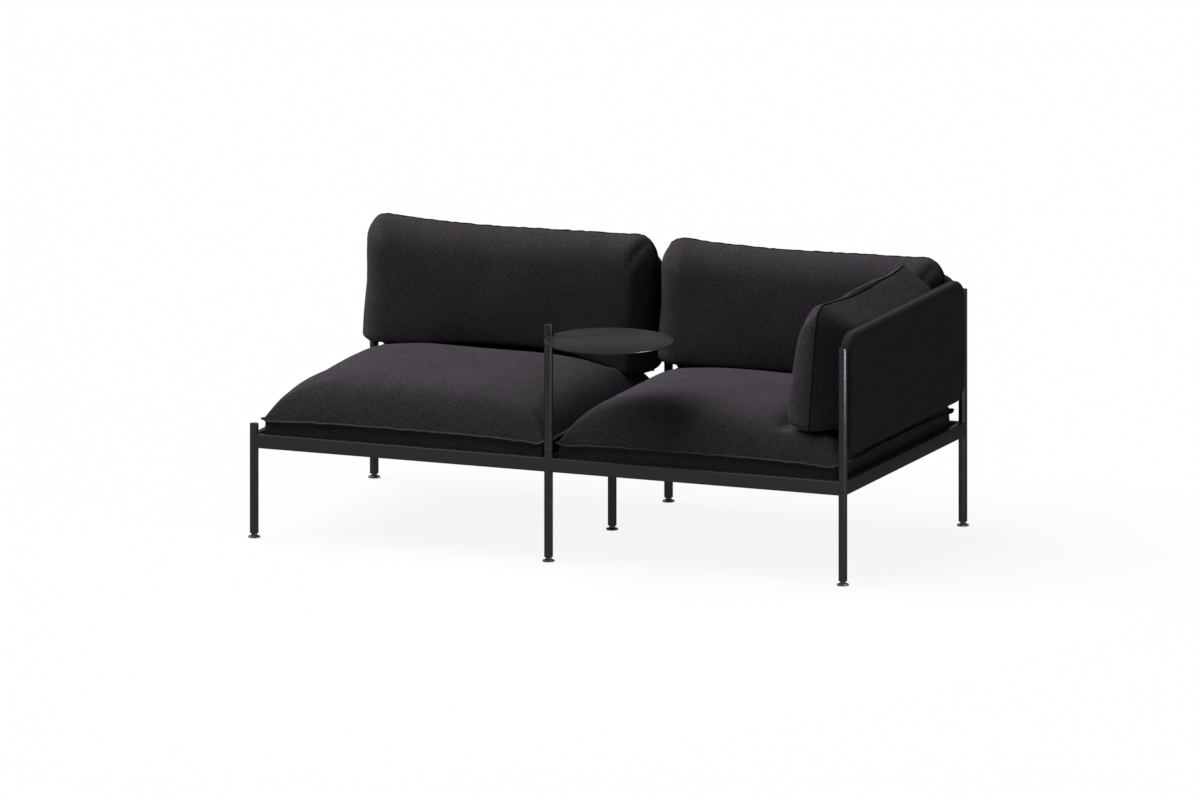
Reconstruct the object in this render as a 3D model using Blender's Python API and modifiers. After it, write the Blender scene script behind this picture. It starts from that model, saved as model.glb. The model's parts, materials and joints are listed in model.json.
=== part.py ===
"""Two-seater modular sofa with one arm and a swivelling side table.

Metres, +Z up, standing on Z = 0. The layout is written from the front left leg's axis,
and an empty shifts it so that the sofa's box is centred on the origin.
"""
import bmesh
import bpy
from math import cos, exp, pi, radians, sin, sqrt
from mathutils import Vector

# Fits
GAP = 0.0003                    # between neighbours that touch

# Frame layout
MODULE_WIDTH = 0.900            # leg axis to leg axis, along the front
MODULE_DEPTH = 0.905            # leg axis to leg axis, front to back
SUPPORT_LEG_Y = 0.480           # short leg under the middle rail

# Frame tubes
TUBE_DIAMETER = 0.025
TUBE_WALL = 0.002
TUBE_SIDES = 24
SHORT_LEG_TOP = 0.330
POST_TOP = 0.685

# Rails
RAIL_TOP = 0.300
RAIL_HEIGHT = 0.040
RAIL_WIDTH = 0.020
RAIL_WALL = 0.002
RAIL_CORNER = 0.0025
LEDGE_WIDTH = 0.022
LEDGE_THICKNESS = 0.003
LEDGE_RISE = 0.003              # ledge underside above the rail's underside
LEDGE_END_GAP = 0.030           # ledge end to the front or back leg's axis

# End caps
CAP_THICKNESS = 0.002
CAP_PLUG_LENGTH = 0.008
CAP_CHAMFER = 0.0005

# Levelling feet
PAD_DIAMETER = 0.034
PAD_HEIGHT = 0.005
PAD_RIM = 0.0012
HEX_ACROSS_FLATS = 0.013
HEX_HEIGHT = 0.008
STUD_DIAMETER = 0.008
STUD_LENGTH = 0.026             # above the hexagon
INSERT_LENGTH = 0.016
FOOT_SIDES = 16

# Side table
TABLE_DIAMETER = 0.366
TABLE_THICKNESS = 0.003
TABLE_TOP = 0.654
TABLE_EDGE_TO_POLE = 0.004      # rim of the top to the pole's axis
TABLE_ANGLE = radians(-1.5)     # from +X, about the pole
TABLE_SIDES = 60
TABLE_CHAMFER = 0.0005
SPIGOT_DIAMETER = 0.0174        # the part that turns in the bush
SPIGOT_DEPTH = 0.042            # below the top of the leg
SPIGOT_RISE = 0.045             # up inside the pole
BUSH_FLANGE = 0.0015
BUSH_LENGTH = 0.036

# Upholstered panels
PANEL_THICKNESS = 0.036
PANEL_BOTTOM = 0.370
PANEL_TOP = 0.722
PANEL_CORNER = 0.060
PANEL_EDGE = 0.014              # rounding of the padded edge
PANEL_END_GAP = 0.0035          # post surface to panel
PIN_DIAMETER = 0.008
PIN_HEIGHTS = (0.450, 0.640)
PIN_GRIP = 0.020                # length inside the panel
PIN_INSIDE_POST = 0.003         # length inside the post's wall
PIN_SIDES = 12

# Seat decks
DECK_THICKNESS = 0.012
DECK_SIDE_GAP = 0.0015
DECK_CORNER = 0.004
VENT_DIAMETER = 0.035
VENT_ROWS = 3
VENT_SIDES = 12

# Seat cushions
SEAT_SIDE_INSET = 0.0195        # leg axis to the band's face
SEAT_FRONT_INSET = 0.014
SEAT_BACK_INSET = 0.034
SEAT_SEAM_HEIGHT = 0.343
SEAT_SEAM_LIP = 0.007
SEAT_CORNER = 0.004
SEAT_CROWN = 0.150              # crown above the seam
SEAT_CROWN_REACH = 0.055
SEAT_FACE_INSET = 0.046         # from the band's face in to the edge of the crowned face
SEAT_DRAW = 0.004               # how far the sides draw in between the corners
NEST_HEIGHT = 0.421             # where the seat is pressed flat by the cushions on it

# Back cushions
BACK_SIDE_INSET = 0.0095
BACK_DEPTH_BOTTOM = 0.202
BACK_DEPTH_TOP = 0.160
BACK_SEAM_DEPTH = 0.056         # seam in front of the panel's face
BACK_ARM_CLEARANCE = 0.010      # right back cushion to the arm panel's face

# Arm cushion
ARM_FRONT = 0.036               # front end at the bottom, from the front leg's axis
ARM_DEPTH_BOTTOM = 0.200
ARM_DEPTH_TOP = 0.160
ARM_SEAM_DEPTH = 0.098
ARM_BACK_CLEARANCE = 0.004
ARM_FRONT_LEAN = 0.19           # how far the front end leans back, for its height

# Both kinds of loose cushion
CUSHION_HEIGHT = 0.336
CUSHION_CORNER = 0.050          # top corners of the outline
CUSHION_EAR = 0.014             # rise of the sewn top corners
LIP = 0.008                     # sewn edge that stands out of the seam
SIDE_DRAW = 0.010               # ends, from the bottom corners up
FACE_INSET = 0.044              # from the seam's plane in to the edge of the crowned face
LOW_SHARE = 0.45                # share of that inset along the bottom
CUSHION_REACH = 0.018           # how quickly the face rises from the edge

TUBE_RADIUS = TUBE_DIAMETER / 2
TABLE_OFFSET = TABLE_DIAMETER / 2 + TABLE_EDGE_TO_POLE  # pole axis to the top's middle
TUBE_BORE = TUBE_RADIUS - TUBE_WALL
PLUG_RADIUS = TUBE_BORE - GAP
LEG_BOTTOM = PAD_HEIGHT + HEX_HEIGHT
RAIL_BOTTOM = RAIL_TOP - RAIL_HEIGHT
PANEL_HALF = PANEL_THICKNESS / 2
DECK_BOTTOM = RAIL_BOTTOM + LEDGE_RISE + LEDGE_THICKNESS + GAP
SEAT_BOTTOM = DECK_BOTTOM + DECK_THICKNESS + GAP
CUSHION_BOTTOM = NEST_HEIGHT + GAP + LIP
SOFA_WIDTH = 2 * MODULE_WIDTH
TABLE_X = MODULE_WIDTH + TABLE_OFFSET * cos(TABLE_ANGLE)
TABLE_Y = TABLE_OFFSET * sin(TABLE_ANGLE)

LEGS = {
    "leg_front_left": (0.0, 0.0),
    "leg_front_middle": (MODULE_WIDTH, 0.0),
    "leg_support": (MODULE_WIDTH, SUPPORT_LEG_Y),
    "post_front_right": (SOFA_WIDTH, 0.0),
    "post_back_left": (0.0, MODULE_DEPTH),
    "post_back_middle": (MODULE_WIDTH, MODULE_DEPTH),
    "post_back_right": (SOFA_WIDTH, MODULE_DEPTH),
}


def clear_scene():
    for item in list(bpy.data.objects):
        bpy.data.objects.remove(item, do_unlink=True)


def make_collection(name):
    collection = bpy.data.collections.new(name)
    bpy.context.scene.collection.children.link(collection)
    return collection


clear_scene()
sofa = make_collection("two_seater_modular_sofa")
cutters = make_collection("cutters")

# The sofa's box, from the outermost pieces, gives the shift to its middle
left_side = -max(PAD_DIAMETER / 2, TUBE_RADIUS)
right_side = SOFA_WIDTH + max(PAD_DIAMETER / 2, PANEL_HALF)
front_side = TABLE_Y - TABLE_DIAMETER / 2
back_side = MODULE_DEPTH + max(PAD_DIAMETER / 2, PANEL_HALF)
middle = bpy.data.objects.new("sofa_layout", None)
middle.location = (-(left_side + right_side) / 2, -(front_side + back_side) / 2, 0)
sofa.objects.link(middle)


def make_material(name, colour, roughness, metallic=0.0):
    material = bpy.data.materials.new(name)
    material.use_nodes = True
    shader = material.node_tree.nodes["Principled BSDF"]
    shader.inputs["Base Color"].default_value = (*colour, 1)
    shader.inputs["Roughness"].default_value = roughness
    shader.inputs["Metallic"].default_value = metallic
    material.diffuse_color = (*colour, 1)
    return material


powder_coat = make_material("powder_coat", (0.030, 0.031, 0.034), 0.42, 0.3)
wool = make_material("charcoal_wool", (0.022, 0.019, 0.022), 0.95)
black_plastic = make_material("black_plastic", (0.015, 0.015, 0.016), 0.45)
zinc = make_material("zinc_steel", (0.42, 0.42, 0.41), 0.38, 1.0)
birch = make_material("birch_plywood", (0.46, 0.33, 0.20), 0.6)


def add_object(name, mesh, material, location=(0, 0, 0), rotation=(0, 0, 0), parent=None):
    """Puts a finished piece in the sofa's collection."""
    item = bpy.data.objects.new(name, mesh)
    item.location = location
    item.rotation_euler = rotation
    item.parent = parent or middle
    mesh.materials.clear()
    mesh.materials.append(material)
    sofa.objects.link(item)
    return item


def add_cutter(name, mesh, location=(0, 0, 0), rotation=(0, 0, 0), parent=None):
    """Puts a helper solid, which only cuts or joins, in the cutters' collection."""
    item = bpy.data.objects.new(name, mesh)
    item.location = location
    item.rotation_euler = rotation
    item.parent = parent or middle
    item.hide_render = True
    item.display_type = "WIRE"
    cutters.objects.link(item)
    return item


def combine(item, other, operation="DIFFERENCE"):
    step = item.modifiers.new(operation.lower() + "_" + other.name, "BOOLEAN")
    step.operation = operation
    step.solver = "EXACT"
    step.object = other


def cylinder_mesh(name, radius, length, sides):
    """A closed cylinder along Z, standing on Z = 0."""
    mesh = bpy.data.meshes.new(name)
    shape = bmesh.new()
    bmesh.ops.create_cone(shape, cap_ends=True, segments=sides, radius1=radius,
                          radius2=radius, depth=length)
    bmesh.ops.translate(shape, verts=shape.verts, vec=(0, 0, length / 2))
    shape.to_mesh(mesh)
    shape.free()
    return mesh


def box_mesh(name, size):
    """A closed box with its lowest corner at the origin."""
    mesh = bpy.data.meshes.new(name)
    shape = bmesh.new()
    bmesh.ops.create_cube(shape, size=1)
    bmesh.ops.translate(shape, verts=shape.verts, vec=(0.5, 0.5, 0.5))
    bmesh.ops.scale(shape, verts=shape.verts, vec=size)
    shape.to_mesh(mesh)
    shape.free()
    return mesh


def turned(name, profile, sides, material, location, closed, parent=None):
    """A turned piece: radius and height pairs that run down the outer side."""
    mesh = bpy.data.meshes.new(name)
    edges = [(i, i + 1) for i in range(len(profile) - 1)]
    if closed:
        edges.append((len(profile) - 1, 0))
    mesh.from_pydata([(r, 0, z) for r, z in profile], edges, [])
    item = add_object(name, mesh, material, location, parent=parent)
    screw = item.modifiers.new("turn", "SCREW")
    screw.steps = sides
    screw.render_steps = sides
    screw.use_merge_vertices = True
    screw.merge_threshold = 0.00001
    screw.use_normal_calculate = False
    return item


def rounded_rectangle(width, height, radius, steps, x=0.0, y=0.0):
    """Corner points of a rounded rectangle about (x, y), anticlockwise."""
    points = []
    for corner in range(4):
        side_x = 1 if corner in (0, 3) else -1
        side_y = 1 if corner in (0, 1) else -1
        for step in range(steps + 1):
            angle = pi / 2 * (corner + step / steps)
            points.append((x + side_x * (width / 2 - radius) + radius * cos(angle),
                           y + side_y * (height / 2 - radius) + radius * sin(angle)))
    return points


def circle(radius, sides, x, y):
    return [(x + radius * cos(2 * pi * i / sides), y + radius * sin(2 * pi * i / sides))
            for i in range(sides)]


def profile_mesh(name, rings, length):
    """A flat outline with holes, drawn out by length along Z about its middle."""
    curve = bpy.data.curves.new(name + "_outline", "CURVE")
    curve.dimensions = "2D"
    curve.fill_mode = "BOTH"
    curve.extrude = length / 2
    for ring in rings:
        spline = curve.splines.new("POLY")
        spline.points.add(len(ring) - 1)
        for point, (x, y) in zip(spline.points, ring):
            point.co = (x, y, 0, 1)
        spline.use_cyclic_u = True
    drawn = bpy.data.objects.new(name + "_outline", curve)
    cutters.objects.link(drawn)
    view = bpy.context.evaluated_depsgraph_get()
    mesh = bpy.data.meshes.new_from_object(drawn.evaluated_get(view))
    mesh.name = name
    shape = bmesh.new()
    shape.from_mesh(mesh)
    bmesh.ops.remove_doubles(shape, verts=shape.verts, dist=0.00001)
    bmesh.ops.recalc_face_normals(shape, faces=shape.faces)
    shape.to_mesh(mesh)
    shape.free()
    bpy.data.objects.remove(drawn)
    bpy.data.curves.remove(curve)
    return mesh


# Frame tubes: each is a turned ring section
ALONG_X = (radians(90), 0, radians(90))
ALONG_Y = (radians(90), 0, 0)


def tube_profile(bottom, top):
    return [(TUBE_RADIUS, top), (TUBE_RADIUS, bottom), (TUBE_BORE, bottom), (TUBE_BORE, top)]


def tube_top(name):
    """Height of the bare tube, which leaves room for the cap, bush or rail on it."""
    if name == "leg_support":
        return RAIL_BOTTOM - GAP
    if name == "leg_front_middle":
        return SHORT_LEG_TOP - BUSH_FLANGE - GAP
    if name == "leg_front_left":
        return SHORT_LEG_TOP - CAP_THICKNESS - GAP
    return POST_TOP - CAP_THICKNESS - GAP


tubes = {}
tube_cutters = {}
for leg, (leg_x, leg_y) in LEGS.items():
    tubes[leg] = turned(leg, tube_profile(LEG_BOTTOM, tube_top(leg)), TUBE_SIDES,
                        powder_coat, (leg_x, leg_y, 0), closed=True)
    room = cylinder_mesh("room_" + leg, TUBE_RADIUS + GAP, POST_TOP, TUBE_SIDES)
    tube_cutters[leg] = add_cutter("room_for_" + leg, room, (leg_x, leg_y, 0))


# Rails: a hollow section drawn between two leg axes, with its ends coped round the tubes
def rail_section(name, length):
    outer = rounded_rectangle(RAIL_WIDTH, RAIL_HEIGHT, RAIL_CORNER, 2)
    inner = rounded_rectangle(RAIL_WIDTH - 2 * RAIL_WALL, RAIL_HEIGHT - 2 * RAIL_WALL,
                              RAIL_CORNER - RAIL_WALL, 1)
    return profile_mesh(name, (outer, inner), length)


def add_rail(name, first, second, ledge_sides=()):
    x1, y1 = LEGS[first]
    x2, y2 = LEGS[second]
    along_x = abs(x2 - x1) > abs(y2 - y1)
    span = max(abs(x2 - x1), abs(y2 - y1))
    length = span - 2 * (RAIL_WIDTH / 2 + GAP)      # clear of the rail round the corner
    spot = ((x1 + x2) / 2, (y1 + y2) / 2, RAIL_TOP - RAIL_HEIGHT / 2)
    rail = add_object(name, rail_section(name, length), powder_coat, spot,
                      ALONG_X if along_x else ALONG_Y)
    for side in ledge_sides:
        add_ledge(rail, x1, span, side)
    combine(rail, tube_cutters[first])
    combine(rail, tube_cutters[second])
    return rail


def add_ledge(rail, rail_x, span, side):
    """Welds the strip that carries a seat deck to one side of a rail."""
    bite = RAIL_WALL / 2
    strip = box_mesh(rail.name + "_ledge", (LEDGE_WIDTH + bite, span - 2 * LEDGE_END_GAP,
                                            LEDGE_THICKNESS))
    start = RAIL_WIDTH / 2 - bite
    low_x = rail_x + start if side > 0 else rail_x - start - LEDGE_WIDTH - bite
    spot = (low_x, LEDGE_END_GAP, RAIL_BOTTOM + LEDGE_RISE)
    combine(rail, add_cutter("ledge_%s_%d" % (rail.name, side), strip, spot), "UNION")


add_rail("rail_front_left", "leg_front_left", "leg_front_middle")
add_rail("rail_front_right", "leg_front_middle", "post_front_right")
add_rail("rail_back_left", "post_back_left", "post_back_middle")
add_rail("rail_back_right", "post_back_middle", "post_back_right")
add_rail("rail_side_left", "leg_front_left", "post_back_left", (1,))
add_rail("rail_middle", "leg_front_middle", "post_back_middle", (-1, 1))
add_rail("rail_side_right", "post_front_right", "post_back_right", (-1,))


# End caps: a chamfered disc with a plug down inside the tube
def add_cap(name, x, y, top, parent=None):
    under = top - CAP_THICKNESS
    profile = [(0, top), (TUBE_RADIUS - CAP_CHAMFER, top), (TUBE_RADIUS, top - CAP_CHAMFER),
               (TUBE_RADIUS, under), (PLUG_RADIUS, under),
               (PLUG_RADIUS, under - CAP_PLUG_LENGTH), (0, under - CAP_PLUG_LENGTH)]
    return turned(name, profile, TUBE_SIDES, black_plastic, (x, y, 0), False, parent)


add_cap("cap_front_left", *LEGS["leg_front_left"], SHORT_LEG_TOP)
for corner in ("front_right", "back_left", "back_middle", "back_right"):
    add_cap("cap_" + corner, *LEGS["post_" + corner], POST_TOP)


# Levelling feet: a domed pad and screw, with a hexagon to turn it by, in a threaded insert
def pad_profile():
    """Stud, neck and dome, from the top of the stud down to the pad's flat underside."""
    stud = STUD_DIAMETER / 2
    pad = PAD_DIAMETER / 2
    dome = [(pad * sin(radians(a)), PAD_RIM + (PAD_HEIGHT - PAD_RIM) * cos(radians(a)))
            for a in (20, 50, 75, 90)]
    return ([(0, LEG_BOTTOM + STUD_LENGTH), (stud, LEG_BOTTOM + STUD_LENGTH), (stud, PAD_HEIGHT)]
            + dome + [(pad, 0), (0, 0)])


for leg, (leg_x, leg_y) in LEGS.items():
    corner = leg.split("_", 1)[1]
    insert = [(PLUG_RADIUS, LEG_BOTTOM + INSERT_LENGTH), (PLUG_RADIUS, LEG_BOTTOM),
              (STUD_DIAMETER / 2 + GAP, LEG_BOTTOM),
              (STUD_DIAMETER / 2 + GAP, LEG_BOTTOM + INSERT_LENGTH)]
    turned("insert_" + corner, insert, FOOT_SIDES, zinc, (leg_x, leg_y, 0), closed=True)
    foot = turned("foot_" + corner, pad_profile(), FOOT_SIDES, black_plastic,
                  (leg_x, leg_y, 0), closed=False)
    hexagon = cylinder_mesh("hexagon", HEX_ACROSS_FLATS / sqrt(3),
                            HEX_HEIGHT + PAD_RIM - GAP, 6)
    combine(foot, add_cutter("hexagon_" + corner, hexagon,
                             (leg_x, leg_y, PAD_HEIGHT - PAD_RIM)), "UNION")


# Side table: pole, top and spigot turn together in the bush on the front middle leg
pivot = bpy.data.objects.new("table_pivot", None)
pivot.location = (*LEGS["leg_front_middle"], 0)
pivot.rotation_euler = (0, 0, TABLE_ANGLE)
pivot.parent = middle
sofa.objects.link(pivot)

running_bore = SPIGOT_DIAMETER / 2 + GAP
bush = [(TUBE_RADIUS, SHORT_LEG_TOP), (TUBE_RADIUS, SHORT_LEG_TOP - BUSH_FLANGE),
        (PLUG_RADIUS, SHORT_LEG_TOP - BUSH_FLANGE),
        (PLUG_RADIUS, SHORT_LEG_TOP - BUSH_LENGTH),
        (running_bore, SHORT_LEG_TOP - BUSH_LENGTH), (running_bore, SHORT_LEG_TOP)]
turned("table_bush", bush, TUBE_SIDES, black_plastic,
       (*LEGS["leg_front_middle"], 0), closed=True)

pole_bottom = SHORT_LEG_TOP + GAP
turned("table_pole", tube_profile(pole_bottom, POST_TOP - CAP_THICKNESS - GAP), TUBE_SIDES,
       powder_coat, (0, 0, 0), closed=True, parent=pivot)
spigot = [(0, pole_bottom + SPIGOT_RISE), (PLUG_RADIUS, pole_bottom + SPIGOT_RISE),
          (PLUG_RADIUS, pole_bottom), (SPIGOT_DIAMETER / 2, pole_bottom),
          (SPIGOT_DIAMETER / 2, SHORT_LEG_TOP - SPIGOT_DEPTH),
          (0, SHORT_LEG_TOP - SPIGOT_DEPTH)]
turned("table_spigot", spigot, TUBE_SIDES, zinc, (0, 0, 0), closed=False, parent=pivot)
add_cap("cap_table_pole", 0, 0, POST_TOP, pivot)

table_radius = TABLE_DIAMETER / 2
table_under = TABLE_TOP - TABLE_THICKNESS
disc = [(0, TABLE_TOP), (table_radius - TABLE_CHAMFER, TABLE_TOP),
        (table_radius, TABLE_TOP - TABLE_CHAMFER), (table_radius, table_under + TABLE_CHAMFER),
        (table_radius - TABLE_CHAMFER, table_under), (0, table_under)]
table = turned("table_top", disc, TABLE_SIDES, powder_coat, (TABLE_OFFSET, 0, 0),
               closed=False, parent=pivot)
pole_room = cylinder_mesh("room_pole", TUBE_RADIUS + GAP, POST_TOP, TUBE_SIDES)
combine(table, add_cutter("room_for_pole", pole_room, parent=pivot))


# Upholstered panels and the pins that carry them
def panel_mesh(name, length):
    """A padded board: big corners in its outline, then soft edges all round."""
    height = PANEL_TOP - PANEL_BOTTOM
    mesh = profile_mesh(name, (rounded_rectangle(length, height, PANEL_CORNER, 4),),
                        PANEL_THICKNESS)
    shape = bmesh.new()
    shape.from_mesh(mesh)
    bmesh.ops.dissolve_limit(shape, angle_limit=radians(1), verts=shape.verts,
                             edges=shape.edges)
    rim = [edge for edge in shape.edges if edge.calc_face_angle(0) > radians(60)]
    bmesh.ops.bevel(shape, geom=rim, offset=PANEL_EDGE, segments=3, profile=0.5,
                    affect="EDGES", clamp_overlap=True)
    shape.to_mesh(mesh)
    shape.free()
    return mesh


def add_panel(name, first, second):
    x1, y1 = LEGS[first]
    x2, y2 = LEGS[second]
    along_x = abs(x2 - x1) > abs(y2 - y1)
    span = max(abs(x2 - x1), abs(y2 - y1))
    length = span - 2 * (TUBE_RADIUS + PANEL_END_GAP)
    spot = ((x1 + x2) / 2, (y1 + y2) / 2, (PANEL_BOTTOM + PANEL_TOP) / 2)
    turn = (radians(90), 0, 0) if along_x else (radians(90), 0, radians(90))
    return add_object(name, panel_mesh(name, length), wool, spot, turn)


panels = {
    "back_left": add_panel("panel_back_left", "post_back_left", "post_back_middle"),
    "back_right": add_panel("panel_back_right", "post_back_middle", "post_back_right"),
    "arm": add_panel("panel_arm", "post_front_right", "post_back_right"),
}
PIN_START = TUBE_BORE - PIN_INSIDE_POST
PIN_END = TUBE_RADIUS + PANEL_END_GAP + PIN_GRIP
TO_RIGHT = (0, radians(90), 0)
TO_LEFT = (0, radians(-90), 0)
TO_BACK = (radians(-90), 0, 0)
TO_FRONT = (radians(90), 0, 0)


def add_pin(name, post, height, turn, start, panel_names):
    """A pin that runs out from a post's axis, and the holes for it."""
    x, y = LEGS[post]
    length = PIN_END - start
    holder = bpy.data.objects.new(name + "_axis", None)
    holder.location = (x, y, height)
    holder.rotation_euler = turn
    holder.parent = middle
    sofa.objects.link(holder)
    pin = cylinder_mesh(name, PIN_DIAMETER / 2, length, PIN_SIDES)
    add_object(name, pin, zinc, (0, 0, start), parent=holder)
    hole = cylinder_mesh(name + "_hole", PIN_DIAMETER / 2 + GAP, length + 2 * GAP, PIN_SIDES)
    cutter = add_cutter("hole_" + name, hole, (0, 0, start - GAP), parent=holder)
    combine(tubes[post], cutter)
    for panel in panel_names:
        combine(panels[panel], cutter)


for level, height in zip(("lower", "upper"), PIN_HEIGHTS):
    add_pin("pin_back_left_" + level, "post_back_left", height, TO_RIGHT, PIN_START,
            ("back_left",))
    add_pin("pin_back_middle_" + level, "post_back_middle", height, TO_RIGHT, -PIN_END,
            ("back_left", "back_right"))
    add_pin("pin_back_right_" + level, "post_back_right", height, TO_LEFT, PIN_START,
            ("back_right",))
    add_pin("pin_arm_back_" + level, "post_back_right", height, TO_FRONT, PIN_START, ("arm",))
    add_pin("pin_arm_front_" + level, "post_front_right", height, TO_BACK, PIN_START, ("arm",))


# Seat decks: plywood with vent holes, on the ledges
def add_deck(name, left):
    inset = RAIL_WIDTH / 2 + DECK_SIDE_GAP
    width = MODULE_WIDTH - 2 * inset
    depth = MODULE_DEPTH - 2 * inset
    rings = [rounded_rectangle(width, depth, DECK_CORNER, 1)]
    pitch_x = width / (VENT_ROWS + 1)
    pitch_y = depth / (VENT_ROWS + 1)
    for row in range(VENT_ROWS):
        for column in range(VENT_ROWS):
            rings.append(circle(VENT_DIAMETER / 2, VENT_SIDES,
                                (column + 1) * pitch_x - width / 2,
                                (row + 1) * pitch_y - depth / 2))
    spot = (left + MODULE_WIDTH / 2, MODULE_DEPTH / 2, DECK_BOTTOM + DECK_THICKNESS / 2)
    return add_object(name, profile_mesh(name, rings, DECK_THICKNESS), birch, spot)


add_deck("seat_deck_left", 0)
add_deck("seat_deck_right", MODULE_WIDTH)


# Soft forms: a box cut into rows, whose points follow the section of the cushion
def cut_box(lines_a, lines_b, levels):
    """A unit box with cuts across each direction, at the given shares of its length."""
    shape = bmesh.new()
    bmesh.ops.create_cube(shape, size=1)
    bmesh.ops.translate(shape, verts=shape.verts, vec=(0.5, 0.5, 0.5))
    level_lines = [k / levels for k in range(levels + 1)]
    for axis, lines in enumerate((lines_a, lines_b, level_lines)):
        for share in lines[1:-1]:
            point = Vector((0, 0, 0))
            normal = Vector((0, 0, 0))
            point[axis] = share
            normal[axis] = 1
            bmesh.ops.bisect_plane(shape, geom=shape.verts[:] + shape.edges[:] + shape.faces[:],
                                   plane_co=point, plane_no=normal)
    return shape


def round_corner(a, b, width, height, low_radius, high_radius):
    """Moves a point of a rectangle on to the arc of its nearest corner."""
    radius = high_radius if b > height / 2 else low_radius
    if radius <= 0:
        return a, b
    side_a = 1 if a > width / 2 else -1
    side_b = 1 if b > height / 2 else -1
    centre_a = width - radius if side_a > 0 else radius
    centre_b = height - radius if side_b > 0 else radius
    s = (a - centre_a) * side_a / radius
    t = (b - centre_b) * side_b / radius
    if s <= 0 or t <= 0:
        return a, b
    s = min(s, 1.0)
    t = min(t, 1.0)
    return (centre_a + side_a * radius * s * sqrt(1 - t * t / 2),
            centre_b + side_b * radius * t * sqrt(1 - s * s / 2))


def rise(distance, reach):
    """How far a stuffed cover has come up, 0 to 1, at a distance in from its edge."""
    return 1 - exp(-max(distance, 0) / reach)


SEAM_LEVEL = 3                  # place of the sewn edge in each section


def soft_mesh(name, width, height, lines, section, corners, face, shift, low_share=1.0):
    """A cushion about the plane of its outline.

    section holds an inset and a depth for each level, from the flat side to the crowned
    face, whose depth comes from face(a, b). shift(a, b) moves the finished point. low_share
    is how much of the inset the lower side gets. A cushion with the whole of it is boxed:
    it has sharp upright corners below its seam.
    """
    boxed = low_share == 1.0
    levels = len(section) - 1
    shape = cut_box(lines[0], lines[1], levels)
    crease = shape.edges.layers.float.new("crease_edge")
    pinned = shape.verts.layers.float.new("crease_vert")
    places = {}
    for vert in shape.verts:
        level = round(vert.co.z * levels)
        inset, depth = section[level]
        low = inset * low_share if inset > 0 else inset
        inner_width = width - 2 * inset
        inner_height = height - inset - low
        a, b = round_corner(vert.co.x * inner_width, vert.co.y * inner_height,
                            inner_width, inner_height, corners[0], corners[1])
        a, b = a + inset, b + low
        if depth is None:
            depth = face(a, b)
        da, db = shift(a, b)
        places[vert] = (a + da, b + db, depth)
        at_corner = vert.co.x in (0, 1) and (vert.co.y == 0 or (boxed and vert.co.y == 1))
        if level == SEAM_LEVEL and at_corner:
            vert[pinned] = 1.0
    for edge in shape.edges:
        ends = [round(vert.co.z * levels) for vert in edge.verts]
        upright = all(vert.co.x in (0, 1) and vert.co.y in (0, 1) for vert in edge.verts)
        if ends == [SEAM_LEVEL, SEAM_LEVEL] or (boxed and upright and max(ends) <= SEAM_LEVEL):
            edge[crease] = 1.0
    for vert, place in places.items():
        vert.co = place
    bmesh.ops.recalc_face_normals(shape, faces=shape.faces)
    mesh = bpy.data.meshes.new(name)
    shape.to_mesh(mesh)
    shape.free()
    return mesh


def add_soft(name, mesh, location, rotation=(0, 0, 0)):
    item = add_object(name, mesh, wool, location, rotation)
    smooth = item.modifiers.new("stuffing", "SUBSURF")
    smooth.levels = 1
    smooth.render_levels = 1
    return item


# Seat cushions: a low band between the rails, a sewn lip, then a high crown
SEAT_WIDTH = MODULE_WIDTH - 2 * SEAT_SIDE_INSET
SEAT_LENGTH = MODULE_DEPTH - SEAT_FRONT_INSET - SEAT_BACK_INSET
BACK_FACE_Y = MODULE_DEPTH - PANEL_HALF - GAP
ARM_FACE_X = SOFA_WIDTH - PANEL_HALF - GAP
seat_section = (
    (0.006, SEAT_BOTTOM),
    (0.000, SEAT_BOTTOM + 0.012),
    (0.003, SEAT_SEAM_HEIGHT - 0.008),
    (-SEAT_SEAM_LIP, SEAT_SEAM_HEIGHT),
    (0.000, SEAT_SEAM_HEIGHT + 0.018),
    (SEAT_FACE_INSET, None),
)


def seat_shift(a, b):
    """Draws the sides in between the corners."""
    return ((0.5 - a / SEAT_WIDTH) * 2 * SEAT_DRAW * sin(pi * b / SEAT_LENGTH),
            (0.5 - b / SEAT_LENGTH) * 2 * SEAT_DRAW * sin(pi * a / SEAT_WIDTH))


def add_seat(name, left, nest_right):
    nest_back = BACK_FACE_Y - BACK_DEPTH_BOTTOM - SEAT_FRONT_INSET
    nest_side = ARM_FACE_X - ARM_DEPTH_BOTTOM - left - SEAT_SIDE_INSET

    def crown(a, b):
        up = SEAT_CROWN * rise(min(a, SEAT_WIDTH - a), SEAT_CROWN_REACH)
        up *= rise(min(b, SEAT_LENGTH - b), SEAT_CROWN_REACH)
        top = SEAT_SEAM_HEIGHT + up
        pressed = b > nest_back - 0.001 or (nest_right and a > nest_side - 0.001)
        return min(top, NEST_HEIGHT) if pressed else top

    top_length = SEAT_LENGTH - 2 * SEAT_FACE_INSET
    top_width = SEAT_WIDTH - 2 * SEAT_FACE_INSET
    back_line = (nest_back - SEAT_FACE_INSET) / top_length
    side_line = (nest_side - SEAT_FACE_INSET) / top_width
    lines_b = (0, 0.10, 0.36, back_line - 0.055, back_line, 0.92, 1)
    if nest_right:
        lines_a = (0, 0.09, 0.38, side_line - 0.06, side_line, 0.92, 1)
    else:
        lines_a = (0, 0.09, 0.36, 0.64, 0.91, 1)
    mesh = soft_mesh(name, SEAT_WIDTH, SEAT_LENGTH, (lines_a, lines_b), seat_section,
                     (SEAT_CORNER, SEAT_CORNER), crown, seat_shift)
    add_soft(name, mesh, (left + SEAT_SIDE_INSET, SEAT_FRONT_INSET, 0))


add_seat("seat_cushion_left", 0, False)
add_seat("seat_cushion_right", MODULE_WIDTH, True)


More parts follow.
